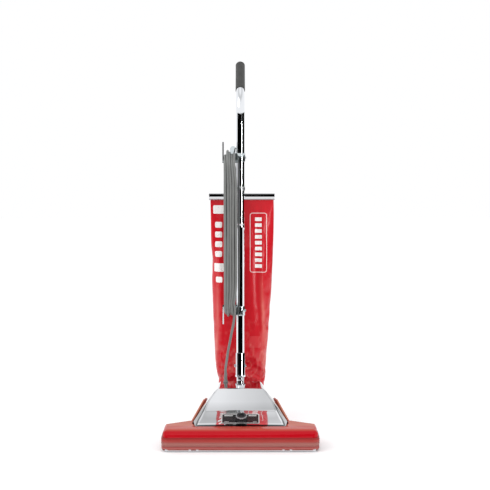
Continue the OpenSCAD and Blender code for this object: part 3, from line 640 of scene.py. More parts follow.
make_strain_relief()


# ---------------------------------------------------------------- motor hood
def filleted(corners):
    """Points along a line whose corners (y, z, radius) are rounded."""
    out = []
    for i, (y, z, r) in enumerate(corners):
        if i in (0, len(corners) - 1) or r == 0:
            out.append((y, z))
            continue
        a = Vector((corners[i - 1][0] - y, corners[i - 1][1] - z)).normalized()
        b = Vector((corners[i + 1][0] - y, corners[i + 1][1] - z)).normalized()
        half = a.angle(b) / 2
        reach = r / math.tan(half)
        here = Vector((y, z))
        for k in range(9):
            t = k / 8
            p, q = here + a * reach * (1 - t), here + b * reach * t
            out.append(tuple(p.lerp(q, t)))
    return out


# The hood's middle line: front lip, hollow slope, crease, steep rise, nearly flat top
TOP_LINE = filleted([(65, 56.9, 0), (76, 59.6, 9), (143, 89.4, 6), (203.5, 143.9, 13), (292, 149, 0)])
# Half widths of the top and of the foot, and the foot's height, each as (place, value)
TOP_HALF = [(65, 130), (76, 126), (100, 119), (143, 105), (166, 96), (182, 85), (193, 76), (200, 71),
            (209, 67.5), (222, 66), (250, 64.5), (292, 62)]
BASE_HALF = [(65, 132), (76, 132), (100, 133.5), (122, 136), (143, 138.8), (166, 131.5), (182, 126),
             (193, 122.3), (200, 119.9), (209, 116.8), (222, 112.4), (250, 103), (292, 100)]
BASE_Z = [(65, 52), (76, 53), (100, 56), (143, 58), (166, 64), (182, 72), (193, 77), (200, 80), (209, 84),
          (222, 90), (250, 95), (292, 88)]
EDGE_ROUND = 6.5


def along(table, y, blur=5.0):
    """A value from (place, value) pairs, with the corners between pairs eased."""
    places, values = zip(*table)
    spread = [y + blur * k / 3 for k in range(-3, 4)]
    return float(np.mean(np.interp(spread, places, values)))


def middle_z(y):
    places, heights = zip(*TOP_LINE)
    hollow = 1.5 * max(0.0, 1 - ((y - 108) / 31) ** 2)
    return float(np.interp(y, places, heights)) - hollow


def hood_z(x, y):
    """The hood's upper surface, slightly lower towards its sides."""
    return middle_z(y) - 1.3 * (x / along(TOP_HALF, y)) ** 2


def hood_edge(y):
    """Height and rise of the hood's edge, its corner's size, how the side leans, and the side's top end."""
    half, low = along(TOP_HALF, y), along(BASE_Z, y)
    top = hood_z(half, y)
    rise = max(top - low, 1.0)
    corner = min(EDGE_ROUND, rise * 0.42)
    lean = (along(BASE_HALF, y) - half) / rise
    return top, rise, corner, lean, half + lean * corner


def hood_section(y):
    """The hood's outline across, from the left foot over the top to the right foot."""
    top_w, base_w, low = along(TOP_HALF, y), along(BASE_HALF, y), along(BASE_Z, y)
    top, rise, corner, lean, edge_x = hood_edge(y)
    outline = []
    for k in range(7):
        t = k / 7
        drop = (rise - corner) * t
        outline.append((base_w - lean * drop + 1.5 * math.sin(math.pi * t) * min(1.0, rise / 30), low + drop))
    edge = Vector((edge_x, top - corner))
    peak = Vector((top_w, top))
    inner_x = top_w - corner * 0.75
    inner = Vector((inner_x, hood_z(inner_x, y)))
    for k in range(9):
        t = k / 8
        outline.append(tuple(edge.lerp(peak, t).lerp(peak.lerp(inner, t), t)))
    for k in range(1, 11):
        x = inner_x * (1 - k / 10)
        outline.append((x, hood_z(x, y)))
    return [(-px, pz) for px, pz in outline] + outline[-2::-1]


def applied(piece):
    """Bakes a piece's modifiers into its mesh."""
    graph = bpy.context.evaluated_depsgraph_get()
    mesh = bpy.data.meshes.new_from_object(piece.evaluated_get(graph))
    piece.modifiers.clear()
    piece.data = mesh
    return piece


def drawn_in(outline, inset):
    """An outline moved inwards by a distance."""
    out = []
    for i, (x, z) in enumerate(outline):
        a, b = outline[max(i - 1, 0)], outline[min(i + 1, len(outline) - 1)]
        length = math.hypot(b[0] - a[0], b[1] - a[1])
        if i in (0, len(outline) - 1):
            out.append((x - math.copysign(inset, x), z))
        else:
            out.append((x + (b[1] - a[1]) / length * inset, z - (b[0] - a[0]) / length * inset))
    return out


def hood_painted_shade(x, y, z):
    """How dark the painted shade line is at a place (along the creases, on the lip), and how far the place is
    on a flank, which gets painted shade.
    """
    top, _, corner, _, edge = hood_edge(y)
    off = math.hypot(abs(x) - edge, z - top + corner)
    line = clamped(2.1 - off / 2.6) if 70 < y < 206 else 0.0
    line = max(line, clamped((81.5 - y) / 1.5))
    return line, clamped((abs(x) - edge) / 3) * clamped((190 - y) / 30)


def make_hood():
    front, back, edge_r, thick = 65.0, 292.0, 2.0, 2.2
    stations = sorted({y for y, _ in TOP_LINE if front + 3 < y < back - 3} | set(range(72, 289, 3)))
    stations = [y for i, y in enumerate(stations) if i == 0 or y - stations[i - 1] > 0.25]
    angles = np.radians(range(0, 91, 18))
    rounding = [(edge_r * (1 - math.sin(a)), edge_r * (1 - math.cos(a))) for a in angles]
    first = [(front + step, inset) for step, inset in reversed(rounding)]
    last = [(back - step, inset) for step, inset in rounding]
    outer = [drawn_in(hood_section(y), inset) for y, inset in first] + [hood_section(y) for y in stations]
    outer += [drawn_in(hood_section(y), inset) for y, inset in last]
    places = [y for y, _ in first] + stations + [y for y, _ in last]
    inner_places = [front + thick] + [y for y in stations if front + 4 < y < back - 4] + [back - thick]
    inner = [drawn_in(hood_section(y), thick) for y in inner_places]
    around = len(outer[0])
    points = [at(x, y, z) for y, section in zip(places, outer) for x, z in section]
    start = len(points)
    points += [at(x, y, z) for y, section in zip(inner_places, inner) for x, z in section]
    m, n = len(places), len(inner_places)
    faces = ring_faces(m, around, closed=False)
    faces += [tuple(start + k for k in reversed(f)) for f in ring_faces(n, around, closed=False)]
    foot = [[j * around + side for j in range(m)] for side in (0, around - 1)]
    foot_in = [[start + j * around + side for j in range(n)] for side in (0, around - 1)]
    # Front and rear caps, outside and inside, then the rim underneath
    faces.append(tuple(range(around)))
    faces.append(tuple((m - 1) * around + i for i in reversed(range(around))))
    faces.append(tuple(start + i for i in reversed(range(around))))
    faces.append(tuple(start + (n - 1) * around + i for i in range(around)))
    for side in (0, 1):
        for j in range(m - 1):
            y = (places[j] + places[j + 1]) / 2
            k = max(0, min(n - 2, int(np.searchsorted(inner_places, y)) - 1))
            faces.append((foot[side][j], foot[side][j + 1], foot_in[side][k + 1], foot_in[side][k]))
    faces += [(foot[0][end], foot[1][end], foot_in[1][end], foot_in[0][end]) for end in (0, -1)]
    shell = make_piece("hood_shell", points, faces, HOOD_CHROME, 48)
    # The switch's window in the rear wall
    corners = [at(x, y, z) for x in (54, 70) for y in (284, 298) for z in (94, 116)]
    box = make_piece("window_cutter", corners, [(0, 1, 3, 2), (4, 6, 7, 5), (0, 4, 5, 1), (2, 3, 7, 6),
                                                (0, 2, 6, 4), (1, 5, 7, 3)], HOOD_CHROME)
    cut = shell.modifiers.new("window", "BOOLEAN")
    cut.object, cut.operation, cut.solver = box, "DIFFERENCE", "EXACT"
    applied(shell)
    bpy.data.objects.remove(box)
    clean(shell.data, 48)
    # Painted shade for the hood's colour, stored per point
    painted_shades = [hood_painted_shade(v.co.x / MM, (v.co.y - FRONT) / MM, v.co.z / MM) for v in shell.data.vertices]
    for name, values in zip(("painted_edge_shade", "painted_flank_shade"), zip(*painted_shades)):
        shell.data.attributes.new(name, "FLOAT", "POINT").data.foreach_set("value", values)
    seat(shell, "base", "mirror_chrome", "motor_hood")


make_hood()


def make_lip_shadow_strip():
    """A thin black strip put in as the painted shadow line between the hood's front lip and the casting."""
    path = [at(x, 64.4 + 0.5 * abs(x / 131) ** 8, 52.6) for x in np.linspace(-131, 131, 45)]
    seat(make_piece("hood_lip_shadow_strip", *tube_mesh(path, 1.3 * MM, 10), BLACK_PLASTIC, 60), "base", "dark_plastic")


make_lip_shadow_strip()


def on_hood(x, y, lift):
    """A point that stands above the hood's slope."""
    tilt = math.atan2(hood_z(x, y + 1) - hood_z(x, y - 1), 2)
    return at(x, y - lift * math.sin(tilt), hood_z(x, y) + lift * math.cos(tilt))


def hood_patch(name, x0, x1, y0, y1, lift, thick, material, corner):
    """A thin plate that follows the hood's slope."""
    columns, rows = max(3, int((x1 - x0) / 2.5)), max(3, int((y1 - y0) / 2.5))
    points, faces = [], []
    for side in (lift, lift - thick):
        for j in range(rows + 1):
            for i in range(columns + 1):
                x, y = x0 + (x1 - x0) * i / columns, y0 + (y1 - y0) * j / rows
                dx, dy = max(x0 + corner - x, x - x1 + corner, 0), max(y0 + corner - y, y - y1 + corner, 0)
                if dx > 0 and dy > 0:
                    shrink = corner / max(corner, math.hypot(dx, dy))
                    x += math.copysign(dx * (1 - shrink), x0 + x1 - 2 * x)
                    y += math.copysign(dy * (1 - shrink), y0 + y1 - 2 * y)
                points.append(on_hood(x, y, side))
    layer = (columns + 1) * (rows + 1)
    for j in range(rows):
        for i in range(columns):
            a = j * (columns + 1) + i
            quad = (a, a + 1, a + columns + 2, a + columns + 1)
            faces += [quad, tuple(layer + k for k in reversed(quad))]
    rim = [i for i in range(columns + 1)] + [j * (columns + 1) + columns for j in range(1, rows + 1)]
    rim += [rows * (columns + 1) + i for i in range(columns - 1, -1, -1)]
    rim += [j * (columns + 1) for j in range(rows - 1, 0, -1)]
    for k, a in enumerate(rim):
        b = rim[(k + 1) % len(rim)]
        faces.append((b, a, layer + a, layer + b))
    return make_piece(name, points, faces, material, 40)


def slab_faces(start=0):
    """The faces of a thin block: four points above, then the four below them."""
    faces = [(0, 1, 2, 3), (7, 6, 5, 4)] + [(k, 4 + k, 4 + (k + 1) % 4, (k + 1) % 4) for k in range(4)]
    return [tuple(start + k for k in face) for face in faces]


LABEL = (-55.5, 55.5, 85.2, 128.0)
BORDER_IN, BORDER_WIDE = 0.6, 1.9
BAR_STEP = 6


def make_label():
    """A black foil plate with a pale border and plain bars where a real one has words."""
    plate = hood_patch("label_foil", *LABEL, 0.75, 0.8, BLACK_FOIL, 2.5)
    seat(plate, "base", "label_black", "label_plate")
    x0, x1, y0, y1 = [edge + inwards * BORDER_IN for edge, inwards in zip(LABEL, (1, -1, 1, -1))]
    lines = [(x0, x1, y0, y0 + BORDER_WIDE), (x0, x1, y1 - BORDER_WIDE, y1), (x0, x0 + BORDER_WIDE, y0, y1),
             (x1 - BORDER_WIDE, x1, y0, y1)]
    # Plain bars on both sides of the knob
    lines += [(-47, -22, 118.5, 121.0), (24, 47, 118.5, 121.0), (-47, -34, 92.0, 93.2), (36, 47, 92.0, 93.2)]
    points, faces = [], []
    for x0, x1, y0, y1 in lines:
        columns, rows = max(1, int((x1 - x0) / BAR_STEP)), max(1, int((y1 - y0) / BAR_STEP))
        for i in range(columns):
            for j in range(rows):
                faces += slab_faces(len(points))
                for lift in (0.9, 0.6):
                    for u, v in ((i, j), (i + 1, j), (i + 1, j + 1), (i, j + 1)):
                        points.append(on_hood(x0 + (x1 - x0) * u / columns, y0 + (y1 - y0) * v / rows, lift))
    seat(make_piece("label_print", points, faces, PALE_INK, 30), "base", "label_black")


make_label()

SLOPE = math.atan2(89.2 - 59.5, 143 - 76)
KNOB_UP = 26.5  # along the slope, from its foot to the knob's middle
KNOB_BASE = at(2.8, 76 + KNOB_UP * math.cos(SLOPE), 59.5 + KNOB_UP * math.sin(SLOPE))
KNOB_AXIS = Vector((0, -math.sin(SLOPE), math.cos(SLOPE)))


FLUTE_DEEP = 1.5


def make_knob():
    """A fluted knob: scalloped rim, raised ring, recess with the screw's head."""
    def grip(radius):
        return lambda angle: radius - FLUTE_DEEP * max(0.0, math.cos(12 * angle)) ** 3

    profile = [(0.3, 1.2), (14.6, 1.2), (grip(15.8), 1.9), (grip(16.4), 3.2), (grip(16.5), 8.0),
               (grip(16.5), 14.2), (grip(16.1), 15.6), (15.0, 16.6), (13.6, 17.1), (11.0, 17.2), (10.2, 16.9),
               (9.6, 16.2), (9.2, 15.4), (8.2, 15.2), (8.0, 14.6), (8.0, 12.5), (0.3, 12.4)]
    turned = make_piece("knob_grip", *lathe(profile, 96, KNOB_BASE, KNOB_AXIS, (1, 0, 0)), BLACK_PLASTIC, 35)

    def on_highlighted_rim(spot):
        out = spot - KNOB_BASE
        height = out.dot(KNOB_AXIS)
        return height > 14.9 * MM and (out - height * KNOB_AXIS).length > 12.6 * MM

    # The rim's top gets the grey of a painted highlight
    tint(turned, KNOB_RIM_HIGHLIGHT, on_highlighted_rim)
    seat(turned, "knob", "dark_plastic", "height_knob")
    finished("knob_screw", STEEL, "knob", "bright_steel", 0.2)
    # Pale pointer on the rim
    points = []
    across, along_slope = Vector((1, 0, 0)), Vector((0, math.cos(SLOPE), math.sin(SLOPE)))
    for height in (17.35, 16.9):
        for u, v in ((-0.7, 10.6), (0.7, 10.6), (0.7, 14.2), (-0.7, 14.2)):
            points.append(KNOB_BASE + MM * (u * across + v * along_slope + height * KNOB_AXIS))
    seat(make_piece("knob_pointer", points, slab_faces(), PALE_INK, 30), "knob", "label_black")


make_knob()


# ---------------------------------------------------------------- bumper
GUARD_HALF, GUARD_BACK, GUARD_CORNER = 225, 96, 22
SPLIT_Y = 34  # where the red bumper ends and the grey end guards begin


def guard_path():
    """The guard's outline in plan from the left rear round the front to the right rear."""
    half, corner = GUARD_HALF, GUARD_CORNER
    right = [(half, y) for y in np.linspace(GUARD_BACK, corner, 12)]
    right += [(half - corner + corner * math.cos(a), corner - corner * math.sin(a))
              for a in np.linspace(0, math.pi / 2, 14)[1:]]
    right += [(x, 0) for x in np.linspace(half - corner, 0, 24)[1:]]
    return [(-x, y) for x, y in right] + right[-2::-1]


def guard_strip(name, runs, profile, material, slot, *nodes):
    """A strip: profile (out, z) pairs swept along each run; the inner face stays on the casting."""
    points, faces = [], []
    n = len(profile)
    for run in runs:
        start = len(points)
        for i, (x, y) in enumerate(run):
            a, b = run[max(i - 1, 0)], run[min(i + 1, len(run) - 1)]
            length = math.hypot(b[0] - a[0], b[1] - a[1])
            nx, ny = (b[1] - a[1]) / length, -(b[0] - a[0]) / length
            points += [at(x + nx * out, y + ny * out, z) for out, z in profile]
        faces += [tuple(start + k for k in f) for f in ring_faces(len(run), n) + capped(len(run), n)]
    seat(make_piece(name, points, faces, material, 50), "base", slot, *nodes)


def rib_profile(ribs=4, depth=1.5, steps=84):
    """Inner face flat at 3.6 mm inside; outer face with rounded ribs between z 17 and 40."""
    outer = []
    for k in range(steps + 1):
        t = k / steps
        soft = min(1.0, 6 * t, 6 * (1 - t))
        groove = depth * (0.5 - 0.5 * math.cos(2 * math.pi * ribs * t))
        outer.append((-1.21 * (1 - soft ** 0.5) - groove, 17.2 + 22.6 * t))
    return [(-3.55, 17.0), (-1.6, 16.95)] + outer + [(-1.8, 39.95), (-3.55, 40.0)]


# The bumper's lower lip, which hangs over the casting's edge
LIP = [(-4.2, 4.8), (-2.6, 4.8), (-1.9, 5.6), (-1.9, 7.0), (-1.0, 7.8), (-0.7, 9.8), (-0.9, 12.6),
       (-1.8, 13.4), (-1.8, 14.2), (-1.0, 15.0), (-1.0, 16.6), (-4.2, 16.8)]


def make_guards():
    whole = guard_path()
    red = [(-GUARD_HALF, SPLIT_Y)] + [p for p in whole if p[1] < SPLIT_Y + 0.1] + [(GUARD_HALF, SPLIT_Y)]
    left = [p for p in whole if p[1] > SPLIT_Y + 0.3 and p[0] < 0] + [(-GUARD_HALF, SPLIT_Y + 0.35)]
    right = [(-x, y) for x, y in reversed(left)]
    guard_strip("bumper_strip", [red], rib_profile(), RED_RUBBER, "red_rubber", "bumper")
    guard_strip("bumper_lip", [[p for p in whole if p[1] < 60]], LIP, RED_RUBBER, "red_rubber")
    guard_strip("end_strips", [left, right], rib_profile(), GREY_RUBBER, "grey_rubber", "end_guards")


make_guards()


# ---------------------------------------------------------------- handle
BEND_Z, BEND_R, BEND_DEGREES = 967, 88, 53
GRIP_AXIS = Vector((0, math.sin(math.radians(BEND_DEGREES)), math.cos(math.radians(BEND_DEGREES))))
GRIP_FOOT = at(0, HOOK_Y + BEND_R * (1 - math.cos(math.radians(BEND_DEGREES))),
               BEND_Z + BEND_R * math.sin(math.radians(BEND_DEGREES)))


def make_tubes():
    lower = [(0.3, 204.2), (12.2, 204.2), (12.7, 204.8), (12.7, 613.5), (13.0, 615.2), (13.4, 616.4),
             (13.4, 629.0), (13.1, 629.8), (0.3, 629.8)]
    tube = make_piece("tube_lower", *lathe(lower, 72, at(0, HOOK_Y, 0), (0, 0, 1)), CHROME, 35)
    seat(tube, "handle", "mirror_chrome", "lower_tube")
    path = [at(0, HOOK_Y, z) for z in (630.2, 630.7, 700, 790, 880, 960)]
    for k in range(37):
        angle = math.radians(BEND_DEGREES * k / 36)
        path.append(at(0, HOOK_Y + BEND_R * (1 - math.cos(angle)), BEND_Z + BEND_R * math.sin(angle)))
    path.append(GRIP_FOOT + GRIP_AXIS * 0.02)
    radii = [12.3 * MM] + [12.7 * MM] * (len(path) - 1)
    tube = make_piece("tube_upper", *tube_mesh(path, radii, 72), CHROME, 35)
    seat(tube, "handle", "mirror_chrome", "upper_tube")


def make_grip():
    """A moulded sleeve with a rolled foot, shallow rings and a domed end."""
    profile = [(12.8, 0.3), (14.0, 0.3), (14.5, 1.0), (14.5, 3.6), (14.0, 4.4), (13.9, 5.6), (14.3, 6.6)]
    for k in range(1, 24):
        z = 6.6 + 5.5 * k
        profile += [(14.42, z - 1.6), (14.42, z - 0.6), (14.2, z)]
    profile += [(14.4, 136.5), (14.5, 138)] + [(6.5 + 8 * math.cos(a), 142 + 8 * math.sin(a))
                                              for a in np.linspace(0, math.pi / 2, 10)]
    profile += [(3.0, 150.0), (2.6, 149.4), (2.5, 147.0), (0.2, 146.8)]
    sleeve = make_piece("grip_sleeve", *lathe(profile, 64, GRIP_FOOT, GRIP_AXIS), GRIP_VINYL, 28)
    seat(sleeve, "handle", "grip_vinyl", "grip")


make_tubes()
make_grip()


# ---------------------------------------------------------------- small soft and wire parts
def make_spring(turns=7, per=20, radius=4.2, low=19.9, tall=26.4):
    """The pedal's coil spring."""
    path = []
    for k in range(turns * per + 1):
        angle = 2 * math.pi * k / per
        path.append(at(-78 + radius * math.cos(angle), 328 + radius * math.sin(angle),
                       low + tall * k / (turns * per)))
    coil = make_piece("spring_coil", *tube_mesh(path, 0.75 * MM, 8), STEEL, 50)
    seat(coil, "base", "bright_steel", "pedal_spring")


def loose_parts(node):
    """The corners of each separate part of a CAD shape."""
    shape = bmesh.new()
    shape.from_mesh(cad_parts[node].data)
    bmesh.ops.remove_doubles(shape, verts=shape.verts, dist=2e-6)
    seen, parts = set(), []
    for vert in shape.verts:
        if vert in seen:
            continue
        part, queue = [], [vert]
        seen.add(vert)
        while queue:
            here = queue.pop()
            part.append(here.co.copy())
            enamel_red = [edge.other_vert(here) for edge in here.link_edges if edge.other_vert(here) not in seen]
            seen.update(enamel_red)
            queue += enamel_red
        parts.append(part)
    shape.free()
    return parts


FIBRES = 22
GOLDEN_TURN = 2.39996


def make_bristles():
    """Tufts of fine fibres that flare outwards, one tuft in place of each CAD peg."""
    low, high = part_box("brush_roll")
    middle = (Vector(low) + Vector(high)) / 2
    side = Vector((1, 0, 0))
    points, faces = [], []
    for n, peg in enumerate(loose_parts("brush_bristles")):
        centre = sum(peg, Vector()) / len(peg)
        out = Vector((0, centre.y - middle.y, centre.z - middle.z)).normalized()
        reach = [(p - centre).dot(out) for p in peg]
        foot, tip = centre + out * (min(reach) - 0.0008), centre + out * max(reach)
        fore = out.cross(side)
        for k in range(FIBRES):
            angle, far = GOLDEN_TURN * k, math.sqrt((k + 0.5) / FIBRES)
            spread = (side * math.cos(angle) + fore * math.sin(angle)) * far
            stop = tip + spread * 0.0026 - out * 0.0008 * ((k * 7 + n * 3) % 5) / 5
            first = len(points)
            for spot, width in ((foot + spread * 0.0017, 0.00032), (stop, 0.00022)):
                for q in range(5):
                    turn = 2 * math.pi * q / 5
                    points.append(spot + width * (math.cos(turn) * side + math.sin(turn) * fore))
            faces += [tuple(first + q for q in face) for face in ring_faces(2, 5) + capped(2, 5)]
    seat(make_piece("bristle_tufts", points, faces, BRISTLE, 60), "brush", "bristle", "brush_bristles")


make_spring()
make_bristles()


# ---------------------------------------------------------------- the other CAD shapes
# Body, material slot, material, bevel in millimetres, and the shapes
DRESS = [("base", "red_enamel", RED_ENAMEL, 1.0, "nozzle_housing"),
         ("base", "bright_steel", STEEL, 0.3, "bottom_plate", "screws", "motor_bracket", "motor_bearings",
          "bag_ring", "carriage_shaft", "rear_axle", "axle_caps", "pivot_pins"),
         ("base", "cast_metal", CAST, 1.0, "fan_case", "motor_housing", "exhaust_duct"),
         ("base", "dark_plastic", BLACK_PLASTIC, 0.6, "suction_duct", "brush_end_caps", "switch_box"),
         ("base", "core_steel", LAMINATIONS, 0.3, "field_core"),
         ("base", "carbon", CARBON, 0.3, "carbon_brushes"),
         ("base", "belt_rubber", BELT, 0, "drive_belt"),
         ("handle", "cast_metal", POLISHED, 0.8, "handle_fork"),
         ("handle", "mirror_chrome", CHROME, 0.4, "handle_socket"),
         ("handle", "mirror_chrome", HOOK_STEEL, 0.4, "lower_hook"),
         ("handle", "bright_steel", STEEL, 0.3, "socket_bolt", "bag_hanger"),
         ("pedal", "dark_plastic", BLACK_PLASTIC, 0.5, "release_pedal"),
         ("rocker", "red_plastic", RED_PLASTIC, 0.4, "switch_rocker"),
         ("carriage", "bright_steel", STEEL, 0.3, "wheel_carriage", "front_axle"),
         ("left_catch", "bright_steel", STEEL, 0.2, "latch_left"),
         ("right_catch", "bright_steel", STEEL, 0.2, "latch_right"),
         ("rotor", "bright_steel", STEEL, 0.2, "motor_shaft", "belt_pulley"),
         ("rotor", "core_steel", LAMINATIONS, 0.3, "armature_core"),
         ("rotor", "winding_copper", COPPER, 0.2, "commutator"),
         ("rotor", "cast_metal", CAST, 0.3, "fan"),
         ("brush", "roll_body", ROLL, 0.4, "brush_roll")]
for row, hand in (("front", "left"), ("front", "right"), ("rear", "left"), ("rear", "right")):
    DRESS.append((row + "_" + hand, "grey_tread", GREY_TREAD, 0.5, row + "_wheel_" + hand))
for body, slot, material, bevel, *nodes in DRESS:
    for node in nodes:
        finished(node, material, body, slot, bevel)
BLACK_TIP = 5.5
upper_hook = finished("upper_hook", HOOK_STEEL, "handle", "mirror_chrome", 0.4)
tip_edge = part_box("upper_hook")[0][0] + BLACK_TIP * MM
tint(upper_hook, BLACK_PLASTIC, lambda spot: spot.x < tip_edge)


def make_clamp():
    """The slide clamp: a channel with rolled edges and a shallow crease along its face."""
    low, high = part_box("bag_clamp")
    middle = (Vector(low) + Vector(high)) / 2
    half = (high[0] - low[0]) / 2
    face = [(-2.6, -10.5), (-4.6, -10.5), (-5.6, -10.2), (-6.3, -9.5), (-6.5, -8.6), (-6.45, -7.4),
            (-6.3, -6.2), (-5.9, -4.2), (-5.5, -2.2), (-5.25, -0.6), (-5.2, 0.2), (-5.35, 1.4), (-5.7, 3.2),
            (-6.05, 5.0), (-6.3, 6.3), (-6.5, 7.4), (-6.5, 8.6), (-6.2, 9.5), (-5.6, 10.2), (-4.7, 10.5)]
    inner = [(2.6, -8), (4.5, -8), (4.5, 8), (-4.5, 8), (-4.5, -8), (-2.6, -8)]
    outline = face + [(-y, z) for y, z in reversed(face)] + inner
    ends = (-half, -half + 0.0006, half - 0.0006, half)
    points = [middle + Vector((x, y * MM, z * MM)) for x in ends for y, z in outline]
    faces = ring_faces(len(ends), len(outline)) + capped(len(ends), len(outline))
    seat(make_piece("clamp_channel", points, faces, POLISHED, 35), "clamp", "bright_steel", "bag_clamp")


make_clamp()


# ---------------------------------------------------------------- bag
# From the neck to the top: [x, y, z, half width, half thickness, ring tilt in degrees]
BAG_STATIONS = [(76, 362.4, 62, 20, 20, 90), (75, 374, 63, 23, 22, 76), (65, 385, 73, 30, 25, 54),
                (36, 391, 88, 49, 30, 28), (7, 394, 108, 67, 34, 8), (3, 394, 145, 75, 38, 0),
                (2, 394, 200, 80, 41, 0), (3.5, 395, 280, 86, 43.5, 0), (4.5, 395, 350, 90.5, 43.5, 0),
                (5, 393.5, 430, 94.5, 42, 0), (5, 391, 510, 97, 38, 0), (6, 387.5, 590, 98, 31, 0),
                (6, 382, 655, 98.5, 19, 0), (5.5, 378.5, 690, 98.5, 6, 0), (5.2, 378.2, 704, 98.5, 3.0, 0)]


def bag_surface(count, around):
    """The sewn shape of the bag, with its hanging folds, as points and faces."""
    points = []
    table = np.array(BAG_STATIONS, float)
    for j in range(count):
        x, y, z, wide, thick, tilt = on_curve(table, (len(table) - 1) * j / (count - 1))
        thick = max(thick, 2.6)
        tilt = math.radians(max(tilt, 0))
        for k in range(around):
            angle = 2 * math.pi * k / around
            c, s_ = math.cos(angle), math.sin(angle)
            px = wide * math.copysign(abs(c) ** 0.8, c)
            py = thick * math.copysign(abs(s_) ** 0.85, s_)
            p = Vector((x + px, y + py * math.cos(tilt), z - py * math.sin(tilt)))
            free = clamped((z - 85) / 90) * clamped((702 - z) / 110) ** 0.7
            p += Vector((0.18 * c, s_, 0)) * bag_fold(p.x, p.z, s_) * free
            points.append(at(*p))
    faces = ring_faces(count, around) + [tuple((count - 1) * around + i for i in range(around))]
    return points, faces


SIM_FRAMES = 16
SIM_REACH = 7.0
SIDEWAYS = 0.3


def let_hang(piece):
    """A short cloth simulation: air pressure from inside, held at the neck and under the clamp."""
    start = [v.co.copy() for v in piece.data.vertices]
    held = piece.vertex_groups.new(name="held")
    for i, p in enumerate(start):
        height = p.z / MM
        weight = max(clamped((118 - height) / 30), clamped((height - 560) / 130))
        if weight > 0:
            held.add([i], weight, "REPLACE")
    cloth = piece.modifiers.new("cloth", "CLOTH")
    settings = cloth.settings
    settings.quality = 5
    settings.mass = 0.35
    settings.tension_stiffness = settings.compression_stiffness = 18
    settings.shear_stiffness = 8
    settings.bending_stiffness = 0.06
    settings.shrink_min = -0.03
    settings.vertex_group_mass = "held"
    settings.pin_stiffness = 1.0
    settings.use_pressure = True
    settings.uniform_pressure_force = 4.0
    settings.effector_weights.gravity = 0.0
    cloth.collision_settings.use_collision = False
    cloth.collision_settings.use_self_collision = False
    cloth.point_cache.frame_start, cloth.point_cache.frame_end = 1, SIM_FRAMES
    scene = bpy.context.scene
    for step in range(1, SIM_FRAMES + 1):
        scene.frame_set(step)
    applied(piece)
    piece.vertex_groups.clear()
    scene.frame_set(1)
    # The cloth keeps close to its sewn shape, and its outline stays straight towards the sides
    for vertex, from_ in zip(piece.data.vertices, start):
        moved = vertex.co - from_
        moved.x *= SIDEWAYS
        moved.z *= SIDEWAYS
        if moved.length > SIM_REACH * MM:
            moved *= SIM_REACH * MM / moved.length
        vertex.co = from_ + moved


def make_bag():
    points, faces = bag_surface(150, 170)
    piece = make_piece("bag_shell", points, faces, BAG_CLOTH, 70)
    places = [(p.co.x / MM, (p.co.y - FRONT) / MM, p.co.z / MM) for p in piece.data.vertices]
    rest = piece.data.attributes.new("rest_place", "FLOAT_VECTOR", "POINT")
    rest.data.foreach_set("vector", [number for spot in places for number in spot])
    # Painted highlight along the folds, stored per point
    painted_fold_sheen = piece.data.attributes.new("painted_fold_sheen", "FLOAT", "POINT")
    painted_fold_sheen.data.foreach_set("value", [bag_painted_sheen(*spot) for spot in places])
    let_hang(piece)
    finer = piece.modifiers.new("finer", "SUBSURF")
    finer.levels = finer.render_levels = 1
    applied(piece)
    clean(piece.data, 70)
    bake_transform(piece)
    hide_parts("bag")


SEEDS = (9.4, 2.2)  # of the folds behind and in front


def ridge(value, centre, width):
    return math.exp(-((value - centre) / width) ** 2)


def fold_lines(z, seed):
    """Where the two long folds run at a height, and how far they wander."""
    wander = 9 * noise.noise(Vector((z / 170, seed, 0.3)))
    return wander, 74 + wander - (z - 300) * 0.02, -72 + wander * 0.7 - (300 - z) * 0.03


def bag_painted_sheen(x, y, z):
    """How much painted highlight a place gets, 0 to 1: pale along the two long folds and over the low
    creases.
    """
    seed = SEEDS[y < SEAM_Y]
    _, right, left = fold_lines(z, seed)
    patchy = 0.62 + 0.75 * noise.noise(Vector((x / 11, z / 55, seed + 3)))
    reach = clamped((z - 120) / 90) * clamped((500 - z) / 130)
    painted_fold_sheen = reach * patchy * max(ridge(x, right - 2, 7), 0.9 * ridge(x, left - 2, 5))
    crease = abs(noise.noise(Vector((x / 30 + z / 90, z / 34 - x / 120, seed + 4))))
    painted_fold_sheen += 0.75 * clamped((360 - z) / 120) * max(0.0, 1 - crease * 9) * max(0.0, patchy)
    return clamped(painted_fold_sheen)


def bag_fold(x, z, side):
    """How far a place on the bag stands out: long hanging folds, and creases towards the foot."""
    seed = SEEDS[side < 0]
    wander, right, left = fold_lines(z, seed)
    folds = 3.2 * ridge(x, right, 9) - 3.0 * ridge(x, 55 + wander * 1.4, 10)
    folds += 3.2 * ridge(x, left, 8) - 1.8 * ridge(x, -52 - wander, 10)
    folds += 1.3 * noise.noise(Vector((x / 26, z / 210, seed)))
    low = clamped((400 - z) / 260)
    crease = noise.noise(Vector((x / 34 + z / 90, z / 40 - x / 120, seed + 4)))
    fine = noise.noise(Vector((x / 15 - z / 70, z / 24, seed + 8)))
    folds += low * (3.4 * (1 - abs(crease) * 2.4) * 0.6 + 1.3 * fine)
    return folds + clamped((z - 560) / 120) * 1.5 * noise.noise(Vector((x / 12, z / 90, seed)))


make_bag()


# ---------------------------------------------------------------- stage and light
FLOOR_GLOW = 0.10
WALL_R, WALL_TOP = 3.95, 1.205
CARD_FLOOR = (0.86, 0.002)  # inner radius and height


def around(first, last, steps, radius):
    """Points on a circle round the machine; degrees count from the camera's side, to the right."""
    angles = [math.radians(first + (last - first) * k / steps) for k in range(steps + 1)]
    return [(radius * math.sin(a), -radius * math.cos(a)) for a in angles]


